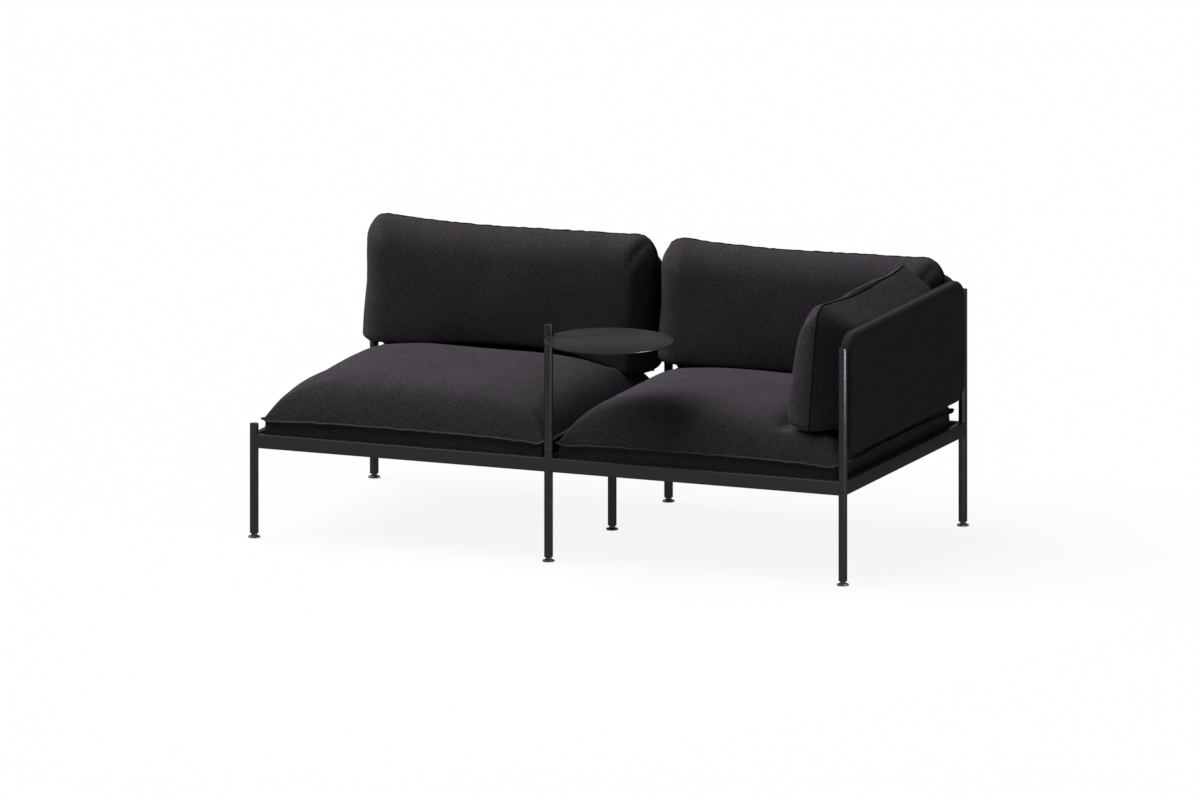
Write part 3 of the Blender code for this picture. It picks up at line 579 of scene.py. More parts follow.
# A stuffed piece is a closed box of grid lines. Its first level lies on what carries it, its
# seam level holds the sewn edge, and its last level is the face.
def gridBox(countA, countB, levels, place, seam):
    shareA, shareB = np.linspace(0, 1, countA + 1), np.linspace(0, 1, countB + 1)
    U, V = np.meshgrid(shareA, shareB, indexing="ij")
    index = -np.ones((countA + 1, countB + 1, levels), dtype=int)
    points, count = [], 0
    for k in range(levels):
        shell = np.ones_like(U, dtype=bool)
        if 0 < k < levels - 1:
            shell[1:-1, 1:-1] = False
        points.append(place(U[shell], V[shell], k))
        index[:, :, k][shell] = np.arange(count, count + shell.sum())
        count += int(shell.sum())
    points = np.vstack(points)
    faces, weave = [], []

    def lengthAlong(ids, axis):
        steps = np.linalg.norm(np.diff(points[ids], axis=axis), axis=2)
        run = np.cumsum(steps, axis=axis)
        return np.concatenate([np.zeros_like(np.take(run, [0], axis=axis)), run], axis=axis)

    def addPatch(ids, spots, flip):
        corners = [(0, 0), (1, 0), (1, 1), (0, 1)]
        if flip:
            corners.reverse()
        rows, columns = ids.shape[0] - 1, ids.shape[1] - 1
        quad = [ids[i:rows + i, j:columns + j].ravel() for i, j in corners]
        spot = [spots[i:rows + i, j:columns + j].reshape(-1, 2) for i, j in corners]
        faces.append(np.stack(quad, axis=1))
        weave.append(np.stack(spot, axis=1).reshape(-1, 2))

    # the weave runs from the middle out over the four walls, and the back's lies apart
    backApart = 2.3
    for level, low, high, offset in ((levels - 1, seam, levels - 1, 0.0), (0, 0, seam, backApart)):
        isFace = level > 0
        face = index[:, :, level]
        runA, runB = lengthAlong(face, 0), lengthAlong(face, 1)
        runA = runA - runA[countA // 2][None, :] + offset
        runB = runB - runB[:, countB // 2][:, None] + offset
        addPatch(face, np.stack([runA, runB], axis=2), not isFace)
        rows = np.arange(high, low - 1, -1) if isFace else np.arange(low, high + 1)
        walls = ((index[0], runA[0], runB[0]), (index[-1], runA[-1], runB[-1]),
                 (index[:, 0], runB[:, 0], runA[:, 0]), (index[:, -1], runB[:, -1], runA[:, -1]))
        for side, (wall, start, edge) in enumerate(walls):
            ids = wall[:, rows]
            out = lengthAlong(ids, 1) * (-1 if side in (0, 2) else 1) + start[:, None]
            keep = np.repeat(edge[:, None], len(rows), axis=1)
            spots = np.stack([out, keep] if side < 2 else [keep, out], axis=2)
            addPatch(ids, spots, (side in (0, 3)) != isFace)
    ring = np.concatenate([index[:-1, 0, seam], index[-1, :-1, seam],
                           index[:0:-1, -1, seam], index[0, :0:-1, seam]])
    return {"points": points, "faces": np.vstack(faces), "weave": np.vstack(weave),
            "ring": ring}


def roundCorners(a, b, width, height, radii):
    # moves the points of a rectangle's corner squares on to arcs, with the radii given
    # low left, low right, high left and high right
    outA, outB = a.copy(), b.copy()
    for number, radius in enumerate(radii):
        sideA, sideB = (1 if number % 2 else -1), (1 if number > 1 else -1)
        centreA = width - radius if sideA > 0 else radius
        centreB = height - radius if sideB > 0 else radius
        s = np.clip((a - centreA) * sideA / radius, 0, 1)
        t = np.clip((b - centreB) * sideB / radius, 0, 1)
        near = (s > 0) & (t > 0)
        outA = np.where(near, centreA + sideA * radius * s * np.sqrt(1 - t * t / 2), outA)
        outB = np.where(near, centreB + sideB * radius * t * np.sqrt(1 - s * s / 2), outB)
    return outA, outB


def hump(distance, reach):
    # a side's roundness: steep at the edge, fading smoothly into the face at reach
    t = np.clip(distance / reach, 0, 1)
    return np.sqrt(1 - (1 - t) ** 3)


def smoothLine(knots, shares):
    # a smooth line through (share, value) knots
    x, y = np.array(knots, dtype=float).T
    slopes = np.gradient(y, x)
    i = np.clip(np.searchsorted(x, shares) - 1, 0, len(x) - 2)
    gap = x[i + 1] - x[i]
    t = np.clip((shares - x[i]) / gap, 0, 1)
    return (y[i] * (1 + 2 * t) * (1 - t) ** 2 + slopes[i] * gap * t * (1 - t) ** 2
            + y[i + 1] * t * t * (3 - 2 * t) - slopes[i + 1] * gap * t * t * (1 - t))


# uneven stuffing and gathers are sums of sines, brought to between about -1 and 1
waveSettings = {"sideStretches": (0.62, 0.83, 1.0, 1.37, 1.9), "sideSum": 2.6, "faceWays": 8,
                "faceStretch": (0.7, 1.5), "faceSum": 3.0}


def sideWave(run, size, seed):
    rng = np.random.default_rng(seed)
    total = np.zeros_like(run)
    for stretch in waveSettings["sideStretches"]:
        total += np.sin(2 * pi * run / (size * stretch) + rng.uniform(0, 2 * pi))
    return total / waveSettings["sideSum"]


def softWave(a, b, size, seed):
    rng = np.random.default_rng(seed)
    total = np.zeros_like(a)
    for number in range(waveSettings["faceWays"]):
        angle, stretch = rng.uniform(0, pi), rng.uniform(*waveSettings["faceStretch"])
        way = a * cos(angle) + b * sin(angle)
        total += np.sin(2 * pi * way / (size * stretch) + rng.uniform(0, 2 * pi))
    return total / waveSettings["faceSum"]


def outlineRun(u, v, width, height):
    # how far round the outline a point of a wall lies
    return np.where(v < 1e-6, u * width,
                    np.where(u > 1 - 1e-6, width + v * height,
                             np.where(v > 1 - 1e-6, 2 * width + height - u * width,
                                      2 * width + 2 * height - v * height)))


# stuffing: pressure from inside swells the cover, held along its seam and where it rests
swellSettings = {"pressure": 4.0, "growth": 0.012, "frames": 20, "quality": 5, "mass": 0.35,
                 "tension": 14, "shear": 8, "bending": 3.0, "smoothTurns": 40, "reach": 0.012,
                 "broadShare": 0.22, "fineShare": 0.10}


def swellCover(grid, held):
    s = swellSettings
    points, faces = grid["points"], grid["faces"]
    held = held.copy()
    held[grid["ring"]] = True
    mesh = bpy.data.meshes.new("swelling")
    mesh.from_pydata(points.tolist(), [], faces.tolist())
    cover = bpy.data.objects.new("swelling", mesh)
    scene.collection.objects.link(cover)
    group = cover.vertex_groups.new(name="held")
    group.add(np.flatnonzero(held).tolist(), 1.0, "REPLACE")
    cloth = cover.modifiers.new("cloth", "CLOTH")
    fabric = cloth.settings
    fabric.quality = s["quality"]
    fabric.mass = s["mass"]
    fabric.tension_stiffness = fabric.compression_stiffness = s["tension"]
    fabric.shear_stiffness = s["shear"]
    fabric.bending_stiffness = s["bending"]
    fabric.use_pressure = True
    fabric.uniform_pressure_force = s["pressure"]
    fabric.shrink_min = -s["growth"]
    fabric.vertex_group_mass = "held"
    fabric.effector_weights.gravity = 0
    cloth.collision_settings.use_collision = False
    for step in range(1, s["frames"] + 1):
        scene.frame_set(step)
    view = bpy.context.evaluated_depsgraph_get()
    swollen = np.zeros(len(points) * 3)
    cover.evaluated_get(view).data.vertices.foreach_get("co", swollen)
    move = swollen.reshape(-1, 3) - points
    bpy.data.objects.remove(cover)
    scene.frame_set(1)
    # the cover keeps its measured form: only a share of the swelling and of its creases stays
    near = np.concatenate([faces[:, [i, (i + 1) % 4]] for i in range(4)])
    count = np.bincount(near.ravel(), minlength=len(points))[:, None]
    broad = move.copy()
    for turn in range(s["smoothTurns"]):
        total = np.zeros_like(broad)
        for axis in range(3):
            total[:, axis] = (np.bincount(near[:, 0], broad[near[:, 1], axis], len(points))
                              + np.bincount(near[:, 1], broad[near[:, 0], axis], len(points)))
        broad = np.where(held[:, None], 0, 0.5 * broad + 0.5 * total / count)
    move = s["broadShare"] * broad + s["fineShare"] * (move - broad)
    size = np.linalg.norm(move, axis=1)[:, None]
    # no point moves further than reach
    grid["points"] = points + move * (s["reach"] * np.tanh(size / s["reach"])
                                      / np.maximum(size, 1e-9))
    print("  swollen by", round(float(size.mean()) * 1000, 1), "mm, at most",
          round(float(size.max()) * 1000, 1))


def stuffedMesh(name, grid):
    points, faces, ring = grid["points"], grid["faces"], grid["ring"]
    mesh = bpy.data.meshes.new(name)
    mesh.from_pydata(points.tolist(), [], faces.tolist())
    layer = mesh.uv_layers.new(name="weave")
    layer.data.foreach_set("uv", grid["weave"].ravel())
    onSeam = np.zeros(len(points), dtype=bool)
    onSeam[ring] = True
    ends = np.zeros(len(mesh.edges) * 2, dtype=int)
    mesh.edges.foreach_get("vertices", ends)
    crease = mesh.attributes.new("crease_edge", "FLOAT", "EDGE")
    crease.data.foreach_set("value", onSeam[ends.reshape(-1, 2)].all(axis=1).astype(float))
    mesh.update()
    return mesh


# sewn edges: a folded edge that follows each cushion's seam
edgeInputs = {
    "Edge Height": ("NodeSocketFloat", 0.006), "Edge Thickness": ("NodeSocketFloat", 0.0035),
    "Spacing": ("NodeSocketFloat", 0.004), "Wave": ("NodeSocketFloat", 0.001),
    "Wave Size": ("NodeSocketFloat", 0.03), "Seed": ("NodeSocketInt", 1),
    "Fabric": ("NodeSocketMaterial", None),
}


def makeSewnEdgeTree():
    tree = bpy.data.node_groups.new("sewnEdge", "GeometryNodeTree")
    tree.interface.new_socket(name="Geometry", in_out="OUTPUT", socket_type="NodeSocketGeometry")
    tree.interface.new_socket(name="Seam", in_out="INPUT", socket_type="NodeSocketGeometry")
    for label, (kind, value) in edgeInputs.items():
        socket = tree.interface.new_socket(name=label, in_out="INPUT", socket_type=kind)
        if value is not None:
            socket.default_value = value
    given = addNode(tree, "NodeGroupInput").outputs
    out = addNode(tree, "NodeGroupOutput")

    def step(kind, inputs, **settings):
        return addNode(tree, "GeometryNode" + kind, inputs, **settings).outputs[0]

    def withLength(label, curve):
        # the curve, and how far along it each of its points lies
        keep = addNode(tree, "GeometryNodeCaptureAttribute")
        keep.capture_items.new("FLOAT", label)
        run = addNode(tree, "GeometryNodeSplineParameter").outputs["Length"]
        feed(tree, keep, {0: curve, 1: run})
        return keep.outputs[0], keep.outputs[1]

    curve = step("MeshToCurve", {0: given["Seam"]})
    curve = step("ResampleCurve", {"Curve": curve, "Length": given["Spacing"]}, mode="LENGTH")
    curve = step("SetCurveNormal", {0: curve}, mode="Z_UP")
    # a gentle wave, out of line with the gathers
    place = addNode(tree, "GeometryNodeInputPosition").outputs[0]
    perWave = calc(tree, "DIVIDE", 1.0, given["Wave Size"])
    noise = addNode(tree, "ShaderNodeTexNoise", noise_dimensions="4D")
    feed(tree, noise, {"Vector": place, "W": given["Seed"], "Scale": perWave, "Detail": 1})
    waved = scaled(tree, fromMiddle(tree, noise.outputs["Color"]),
                   calc(tree, "MULTIPLY", given["Wave"], 4.0))
    curve = step("SetPosition", {"Geometry": curve, "Offset": waved})
    curve, run = withLength("Run", curve)
    # the folded cloth's section: an ellipse that stands up from the seam
    fold = step("CurvePrimitiveCircle", {"Resolution": 12, "Radius": 1.0}, mode="RADIUS")
    halfThickness = calc(tree, "MULTIPLY", given["Edge Thickness"], 0.5)
    inputs = {0: given["Edge Height"], 1: halfThickness, 2: 1.0}
    size = addNode(tree, "ShaderNodeCombineXYZ", inputs).outputs[0]
    fold = step("Transform", {"Geometry": fold, "Scale": size})
    fold, around = withLength("Round", fold)
    made = step("CurveToMesh", {"Curve": curve, "Profile Curve": fold})
    weaveMap = addNode(tree, "ShaderNodeCombineXYZ", {0: run, 1: around}).outputs[0]
    made = step("StoreNamedAttribute", {"Geometry": made, "Name": "weave", "Value": weaveMap},
                data_type="FLOAT2", domain="CORNER")
    made = step("SetShadeSmooth", {"Geometry": made})
    made = step("RealizeInstances", {0: made})
    made = step("SetMaterial", {"Geometry": made, "Material": given["Fabric"]})
    feed(tree, out, {0: made})
    return tree


sewnEdgeTree = makeSewnEdgeTree()


def runTree(tree, mesh, name, values):
    # runs a Geometry Nodes tree on a mesh once, and gives the plain mesh it makes
    holder = bpy.data.objects.new(name + "_path", mesh)
    scene.collection.objects.link(holder)
    step = holder.modifiers.new(name, "NODES")
    step.node_group = tree
    for item in tree.interface.items_tree:
        if item.in_out == "INPUT" and item.name in values:
            step[item.identifier] = values[item.name]
    view = bpy.context.evaluated_depsgraph_get()
    made = bpy.data.meshes.new_from_object(holder.evaluated_get(view))
    bpy.data.objects.remove(holder)
    made.name = name
    return made


def seamLoop(grid):
    mesh = bpy.data.meshes.new("seam")
    spots = grid["points"][grid["ring"]]
    count = len(spots)
    mesh.from_pydata(spots.tolist(), [(i, (i + 1) % count) for i in range(count)], [])
    return mesh


def toPlace(mesh, matrix):
    mesh.transform(Matrix.Translation(layout) @ matrix)
    mesh.update()


def addStuffed(name, grid, held, matrix, replaced, edge, material=coverWool,
               edging=coverWool):
    # matrix takes the piece from its own axes to the layout
    if held is not None:
        swellCover(grid, held)
    loop = seamLoop(grid)
    mesh = stuffedMesh(name, grid)
    toPlace(mesh, matrix)
    piece = addPiece(name, mesh, material, (replaced,), "frame", 0)
    smooth = piece.modifiers.new("stuffing", "SUBSURF")
    smooth.levels = smooth.render_levels = 1
    trim = runTree(sewnEdgeTree, loop, name + "_edge", dict(edge, Fabric=edging))
    toPlace(trim, matrix)
    addPiece(name + "_sewn_edge", trim, edging, (), "frame", 0)
    return piece


def turned(place, xWay, yWay, zWay):
    return Matrix(((xWay[0], yWay[0], zWay[0], place[0]), (xWay[1], yWay[1], zWay[1], place[1]),
                   (xWay[2], yWay[2], zWay[2], place[2]), (0, 0, 0, 1)))


# upholstered panels: boards with a thin, tight padding
panelSettings = {"thickness": 0.036, "bottom": 0.370, "top": 0.722, "corner": 0.060,
                 "edge": 0.015, "gap": 0.0035, "crown": 0.0012, "crownPower": 0.6, "cell": 0.012,
                 "seamShare": 0.28, "seamGap": 0.0006, "cornerShrink": 0.8, "turnSteps": 6}
panelEdge = {"Edge Height": 0.0012, "Edge Thickness": 0.0022, "Wave": 0.0001, "Wave Size": 0.05}


def panelGrid(length):
    s = panelSettings
    height, thick, edge = s["top"] - s["bottom"], s["thickness"], s["edge"]
    seamDepth = thick * s["seamShare"]
    turns = np.linspace(0, pi / 2, s["turnSteps"])
    backSide = [(edge * (1 - sin(t)), seamDepth * (1 - cos(t))) for t in turns]
    frontSide = [(edge * (1 - cos(t)), thick - edge + edge * sin(t)) for t in turns]
    section = backSide[:-1] + [(s["seamGap"], seamDepth)] + frontSide
    seam = len(backSide) - 1

    def place(u, v, k):
        inset, depth = section[k]
        p = inset + u * (length - 2 * inset)
        q = inset + v * (height - 2 * inset)
        a, b = roundCorners(p - inset, q - inset, length - 2 * inset, height - 2 * inset,
                            [s["corner"] - inset * s["cornerShrink"]] * 4)
        a, b = a + inset, b + inset
        crown = (s["crown"] * np.sin(pi * u) ** s["crownPower"]
                 * np.sin(pi * v) ** s["crownPower"])
        lift = crown if k == len(section) - 1 else 0
        return np.stack([a, b, np.full_like(a, depth) + lift], axis=1)

    return gridBox(int(length / s["cell"]), int(height / s["cell"]), len(section), place, seam)


panelLength = {"along": moduleWidth - 2 * (tubeSettings["radius"] + panelSettings["gap"]),
               "deep": moduleDepth - 2 * (tubeSettings["radius"] + panelSettings["gap"])}
half = panelSettings["thickness"] / 2
for nodeName, start in (("panel_back_left", 0), ("panel_back_right", moduleWidth)):
    spot = (start + tubeSettings["radius"] + panelSettings["gap"], moduleDepth + half,
            panelSettings["bottom"])
    addStuffed("upholstered_" + nodeName, panelGrid(panelLength["along"]), None,
               turned(spot, (1, 0, 0), (0, 0, 1), (0, -1, 0)), nodeName, panelEdge,
               shadedPanelWool)
spot = (2 * moduleWidth - half, tubeSettings["radius"] + panelSettings["gap"],
        panelSettings["bottom"])
addStuffed("upholstered_panel_arm", panelGrid(panelLength["deep"]), None,
           turned(spot, (0, 1, 0), (0, 0, 1), (1, 0, 0)), "panel_arm", panelEdge, shadedPanelWool)
print("panels made")

# seat cushions: a low boxed band, a sewn edge, then a high soft crown. The band is given as
# insets at heights over its bottom and under the seam, and the crown as insets from the seam
seatSettings = {
    "sideInset": 0.0195, "frontInset": 0.014, "backInset": 0.034, "bottom": 0.279,
    "seam": 0.343, "draw": 0.004, "nest": 0.421, "cell": 0.0115, "corner": 0.004,
    "band": [(0.014, 0), (0.005, 0.002), (0.0015, 0.008), (0.0025, 0.022), (0.0035, 0.036),
             (0.0040, 0.050)],
    "underSeam": [(0.0042, 0.006), (0.0030, 0.002)],
    "crownInsets": [0.0, 0.0010, 0.0025, 0.0050, 0.0085, 0.0125, 0.0175, 0.0235, 0.0305, 0.0390,
                    0.0490, 0.0610, 0.0750, 0.0920, 0.112],
    "crown": 0.1297, "fastReach": 0.0286, "slowReach": 0.111, "fastShare": 0.548,
    "frontFastShare": 0.90, "rise": 0.067, "riseFrom": 0.386, "cornerLift": 0.35,
    "swell": 0.0022, "swellSize": 0.30, "gather": 0.0010, "gatherSize": 0.060,
    "gatherReach": 0.018, "dip": 0.0115, "dipReach": 0.10, "dipCorner": 0.012, "dipFade": 0.03,
    "nestReach": 0.022, "nestEdge": 0.004,
}
seatEdge = {"Edge Height": 0.0088, "Edge Thickness": 0.0054, "Wave": 0.0008, "Wave Size": 0.07}
restSizes = {"backDepth": 0.202, "armDepth": 0.200, "panelFace": half + 0.0003}


def seatGrid(left, armBeside, seed):
    s = seatSettings
    width = moduleWidth - 2 * s["sideInset"]
    length = moduleDepth - s["frontInset"] - s["backInset"]
    nestB = moduleDepth - restSizes["panelFace"] - restSizes["backDepth"] - s["frontInset"]
    nestA = (2 * moduleWidth - restSizes["panelFace"] - restSizes["armDepth"] - left
             - s["sideInset"])
    seamHeight = s["seam"]
    band = [(inset, s["bottom"] + rise) for inset, rise in s["band"]]
    band += [(inset, seamHeight - drop) for inset, drop in s["underSeam"]]
    insets = [inset for inset, z in band] + s["crownInsets"]
    seam, last = len(band), len(insets) - 1

    def rising(distance, fastShare):
        return (1 - fastShare * np.exp(-distance / s["fastReach"])
                - (1 - fastShare) * np.exp(-distance / s["slowReach"]))

    def crownAt(p, q):
        across = rising(p, s["fastShare"]) * rising(width - p, s["fastShare"])
        along = rising(q, s["frontFastShare"]) * rising(length - q, s["fastShare"])
        full = across * along
        full = full + s["cornerLift"] * (np.minimum(across, along) - full)
        full = full * (1 + s["rise"] * (q - s["riseFrom"]))
        swell = softWave(p, q, s["swellSize"], seed) * s["swell"] * np.clip(full, 0, 1)
        return seamHeight + s["crown"] * full + swell

    def place(u, v, k):
        inset = insets[k]
        p = inset + u * (width - 2 * inset)
        q = inset + v * (length - 2 * inset)
        a, b = roundCorners(p, q, width, length, [s["corner"]] * 4)
        a = a + (0.5 - a / width) * 2 * s["draw"] * np.sin(pi * b / length)
        b = b + (0.5 - b / length) * 2 * s["draw"] * np.sin(pi * a / width)
        fromSeam = inset if k >= seam else seamHeight - band[k][1]
        pull = s["gather"] * np.exp(-fromSeam / s["gatherReach"])
        wave = sideWave(outlineRun(u, v, width, length), s["gatherSize"], seed)
        # the seam hangs a little lower beside each pulled up corner
        corner = np.maximum(np.minimum(p, width - p), np.minimum(q, length - q)) - inset
        dip = s["dip"] * (1 - np.exp(-corner / s["dipCorner"]))
        dip = dip * np.exp(-corner / s["dipReach"] - fromSeam / s["dipFade"])
        if k < seam:
            height = np.full_like(a, band[k][1]) + wave * pull - dip
        else:
            # under a back or arm cushion the crown is pressed down to the nest's height
            top = crownAt(p, q)
            under = 1 - np.exp(-np.clip(nestB - q, 0, None) / s["nestReach"])
            if armBeside:
                under = under * (1 - np.exp(-np.clip(nestA - p, 0, None) / s["nestReach"]))
            pressed = np.minimum(top, s["nest"])
            height = pressed + (top - pressed) * under
            if k < last:
                height = height + wave * pull - dip
        return np.stack([a, b, height], axis=1)

    cells = int(width / s["cell"])
    grid = gridBox(cells, cells, len(insets), place, seam)
    x, y, z = grid["points"].T
    nested = (y > nestB - s["nestEdge"]) | (armBeside & (x > nestA - s["nestEdge"]))
    return grid, (z < seamHeight + 0.001) | (nested & (z < s["nest"] + s["nestEdge"]))


for nodeName, left, beside in (("seat_cushion_left", 0, False),
                               ("seat_cushion_right", moduleWidth, True)):
    spot = (left + seatSettings["sideInset"], seatSettings["frontInset"], 0)
    grid, held = seatGrid(left, beside, 3 + beside)
    addStuffed("soft_" + nodeName, grid, held, turned(spot, (1, 0, 0), (0, 1, 0), (0, 0, 1)),
               nodeName, seatEdge)
print("seat cushions made")

# back and arm cushions: flat on their panel, a sewn edge all round, a full leaning face
looseShape = {
    "height": 0.336, "bottom": 0.4293, "cell": 0.0105, "sideTrim": 0.1, "endTrim": 0.06,
    "backShares": (0, 0.05, 0.16, 0.34, 0.56, 0.76, 0.90), "turnSteps": 16, "frontRun": 0.045,
    "fade": 1.5, "radiusShrink": 0.55, "leastRadius": 0.006, "roundShare": 0.16,
    "backRound": 0.010, "lowEnd": 0.004, "pinch": 0.0020, "pinchWidth": 0.011,
    "pinchStep": 0.02, "gather": 0.0010, "gatherSize": 0.042, "gatherReach": 0.020,
    "crown": 0.012, "crownPower": 0.7, "swell": 0.0016, "swellSize": 0.22, "crestTurn": 0.36,
    "rest": 0.004,
}


def looseGrid(cushion):
    s, c = looseShape, cushion
    width, height, seamDepth = c["width"], s["height"], c["seam"]
    turns = np.linspace(0, pi / 2, s["turnSteps"])[1:]
    levels = [("back", share) for share in s["backShares"]] + [("seam", 1.0)]
    levels += [("front", turn) for turn in turns]
    seam, last = len(s["backShares"]), len(levels) - 1

    def outline(u, v, insets):
        left, right, low, high = insets
        p = left + u * (width - left - right)
        q = low + v * (height - low - high)
        radii = [max(radius - s["radiusShrink"] * (side + end) / 2, s["leastRadius"])
                 for radius, side, end in
                 zip(c["corners"], (left, right, left, right), (low, low, high, high))]
        a, b = roundCorners(p - left, q - low, width - left - right, height - low - high, radii)
        a = a + left + smoothLine(c["leftLine"], v) * (1 - u) - smoothLine(c["rightLine"], v) * u
        b = b + low + smoothLine(c["topLine"], u) * v
        return a, b, p, q

    def place(u, v, k):
        kind, t = levels[k]
        if kind == "front":
            insets = [reach * (1 - cos(t)) for reach in c["reach"]]
            fromSeam = s["frontRun"] * t
        else:
            rounded = s["backRound"] * (1 - min(t / s["roundShare"], 1)) ** 2
            insets = [c["backEnds"][0] * (1 - t) + rounded,
                      c["backEnds"][1] * (1 - t) + rounded, s["lowEnd"] * (1 - t) + rounded,
                      c["backDrop"] * (1 - t) ** c["dropPower"] + rounded]
            fromSeam = seamDepth * (1 - t)
        a, b, p, q = outline(u, v, insets)
        # the cover swells a little beside its seam and is gathered into it
        inA, inB, _, _ = outline(u, v, [inset + s["pinchStep"] for inset in insets])
        away = np.stack([a - inA, b - inB])
        away /= np.maximum(np.linalg.norm(away, axis=0), 1e-6)
        wave = sideWave(outlineRun(u, v, width, height), s["gatherSize"], c["seed"])
        swell = s["pinch"] * fromSeam / s["pinchWidth"] * np.exp(1 - fromSeam / s["pinchWidth"])
        pull = s["gather"] * np.exp(-fromSeam / s["gatherReach"]) * wave
        if k == last:
            swell, pull = 0, 0
        a, b = a + away[0] * (swell + pull), b + away[1] * (swell + pull)
        if kind == "front":
            full = smoothLine(c["depthLine"], q / height)
            full = full + s["crown"] * (np.sin(pi * np.clip(p / width, 0, 1))
                                        * np.sin(pi * np.clip(q / height, 0, 1))
                                        ** s["crownPower"])
            full = full + s["swell"] * softWave(a, b, s["swellSize"], c["seed"] + 5)
            rounded = 1.0
            for gap, reach in zip((p, width - p, q, height - q), c["reach"]):
                rounded = rounded * hump(gap, reach * s["fade"])
            depth = seamDepth + (full - seamDepth) * rounded
            # the face stands a little higher than its seam, over its upper part only
            crest = t / s["crestTurn"] * exp(1 - t / s["crestTurn"])
            b = b + smoothLine(c["crest"], u) * crest * np.clip(2.5 * v - 1.5, 0, 1) ** 2
        else:
            depth = np.full_like(a, seamDepth * t)
        b = b - c["sag"] * (1 - v) * np.clip(depth / seamDepth - 1, 0, 1)
        b = b - smoothLine(c["droop"], u) * (1 - v) ** 3
        lean = c["leans"][0] + (c["leans"][1] - c["leans"][0]) * p / width
        return np.stack([a - lean * b, b, depth], axis=1)

    grid = gridBox(int((width - s["sideTrim"]) / s["cell"]),
                   int((height - s["endTrim"]) / s["cell"]), len(levels), place, seam)
    x, y, depth = grid["points"].T
    return grid, (depth < s["rest"]) | (y < s["rest"])


# a cushion's lines are (share, metres) knots, and its reach is given left, right, low and high
looseEdge = {"Edge Height": 0.0030, "Edge Thickness": 0.0030, "Wave": 0.0007,
             "Wave Size": 0.030}
backFace = moduleDepth - restSizes["panelFace"]
armFace = 2 * moduleWidth - restSizes["panelFace"]
backCushion = {
    "seam": 0.056, "depthLine": [(0, 0.196), (0.5, 0.173), (1, 0.150)],
    "reach": (0.070, 0.026, 0.016, 0.062), "backEnds": (0.012, 0.012), "backDrop": 0.030,
    "dropPower": 1.3, "leans": (0, 0), "sag": 0.001, "droop": [(0, 0), (1, 0)],
    "crest": [(0, 0), (1, 0)],
}
backCushions = {
    "back_cushion_left": dict(
        backCushion, start=0.0095, width=0.881, seed=21, corners=(0.004, 0.006, 0.058, 0.066),
        reach=(0.070, 0.034, 0.012, 0.062),
        topLine=[(0, 0.0200), (0.11, 0.0142), (0.22, 0.0092), (0.33, 0.0068), (0.44, 0.0060),
                 (0.56, 0.0085), (0.67, 0.0100), (0.78, 0.0130), (0.89, 0.0140), (1, 0.0225)],
        leftLine=[(0, 0.0040), (0.25, 0.0070), (0.5, 0.0130), (0.75, 0.0115), (1, 0.0105)],
        rightLine=[(0, 0.0040), (0.5, 0.0010), (1, -0.0015)],
        droop=[(0, 0), (0.86, 0.002), (0.94, 0.018), (1, 0.040)]),
    "back_cushion_right": dict(
        backCushion, start=0.9095, width=0.8622, seed=34, corners=(0.004, 0.008, 0.073, 0.060),
        sag=-0.002,
        topLine=[(0, 0.0218), (0.09, 0.0157), (0.18, 0.0103), (0.27, 0.0085), (0.36, 0.0063),
                 (0.45, 0.0062), (0.55, 0.0083), (0.64, 0.0096), (0.73, 0.0120), (0.82, 0.0132),
                 (0.91, 0.0154), (1, 0.0207)],
        leftLine=[(0, 0.0060), (0.25, 0.0080), (0.5, 0.0145), (0.75, 0.0120), (1, 0.0107)],
        rightLine=[(0, 0.0040), (0.5, 0.0020), (1, 0.0030)]),
}
for nodeName, cushion in backCushions.items():
    grid, held = looseGrid(cushion)
    addStuffed("soft_" + nodeName, grid, held,
               turned((cushion["start"], backFace, looseShape["bottom"]), (1, 0, 0), (0, 0, 1),
                      (0, -1, 0)), nodeName, looseEdge, edging=shadedEdgeWool)

# the arm cushion leans back with its neighbour, and its top meets it in a pointed corner
armCushion = {
    "front": 0.027, "backGap": 0.012, "seam": 0.0977, "backEnds": (0.0, 0.080), "backDrop": 0.068,
    "reach": (0.070, 0.032, 0.018, 0.062),
    "depthLine": [(0, 0.176), (0.25, 0.176), (0.45, 0.172), (0.7, 0.161), (1, 0.147)],
    "dropPower": 1.0, "leans": (0.125, 0.19), "seed": 55, "sag": 0, "droop": [(0, 0), (1, 0)],
    "corners": (0.012, 0.010, 0.020, 0.055),
    "topLine": [(0, 0.0115), (0.057, 0.0041), (0.17, -0.0011), (0.28, -0.0010), (0.40, -0.0062),
                (0.51, -0.0083), (0.62, -0.0064), (0.74, 0), (0.84, 0.0051), (1, 0.0123)],
    "leftLine": [(0, 0), (0.8, 0), (0.93, -0.012), (1, -0.040)], "rightLine": [(0, 0), (1, 0)],
    "crest": [(0, 0), (0.2, 0.001), (0.33, 0.008), (0.45, 0.013), (0.56, 0.012), (0.67, 0.004),
              (0.8, 0.002), (1, 0.002)],
}
armBack = backFace - restSizes["backDepth"] - armCushion["backGap"]
armCushion["width"] = armBack - armCushion["front"]
grid, held = looseGrid(armCushion)
addStuffed("soft_arm_cushion", grid, held,
           turned((armFace, armBack, looseShape["bottom"]), (0, -1, 0), (0, 0, 1),
                  (-1, 0, 0)), "arm_cushion", looseEdge, edging=shadedEdgeWool)
print("loose cushions made")

# floor, light and camera
stageSettings = {
    "floorSize": 60.0, "floorColor": (0.3, 0.3, 0.3, 1), "seenColor": (1, 1, 1, 1),
    "whiteShare": 0.90, "ambient": 0.03, "lampDistance": 5,
    "lamps": {"lamp left": (1.04, 56, 192, 64), "lamp right": (0.07, 25, -50, 80)},
    "strip": {"power": 60, "place": (1.6, -0.52, 0.85), "target": (0.9, -0.37, 0.6),
              "size": (0.14, 0.8)},
}


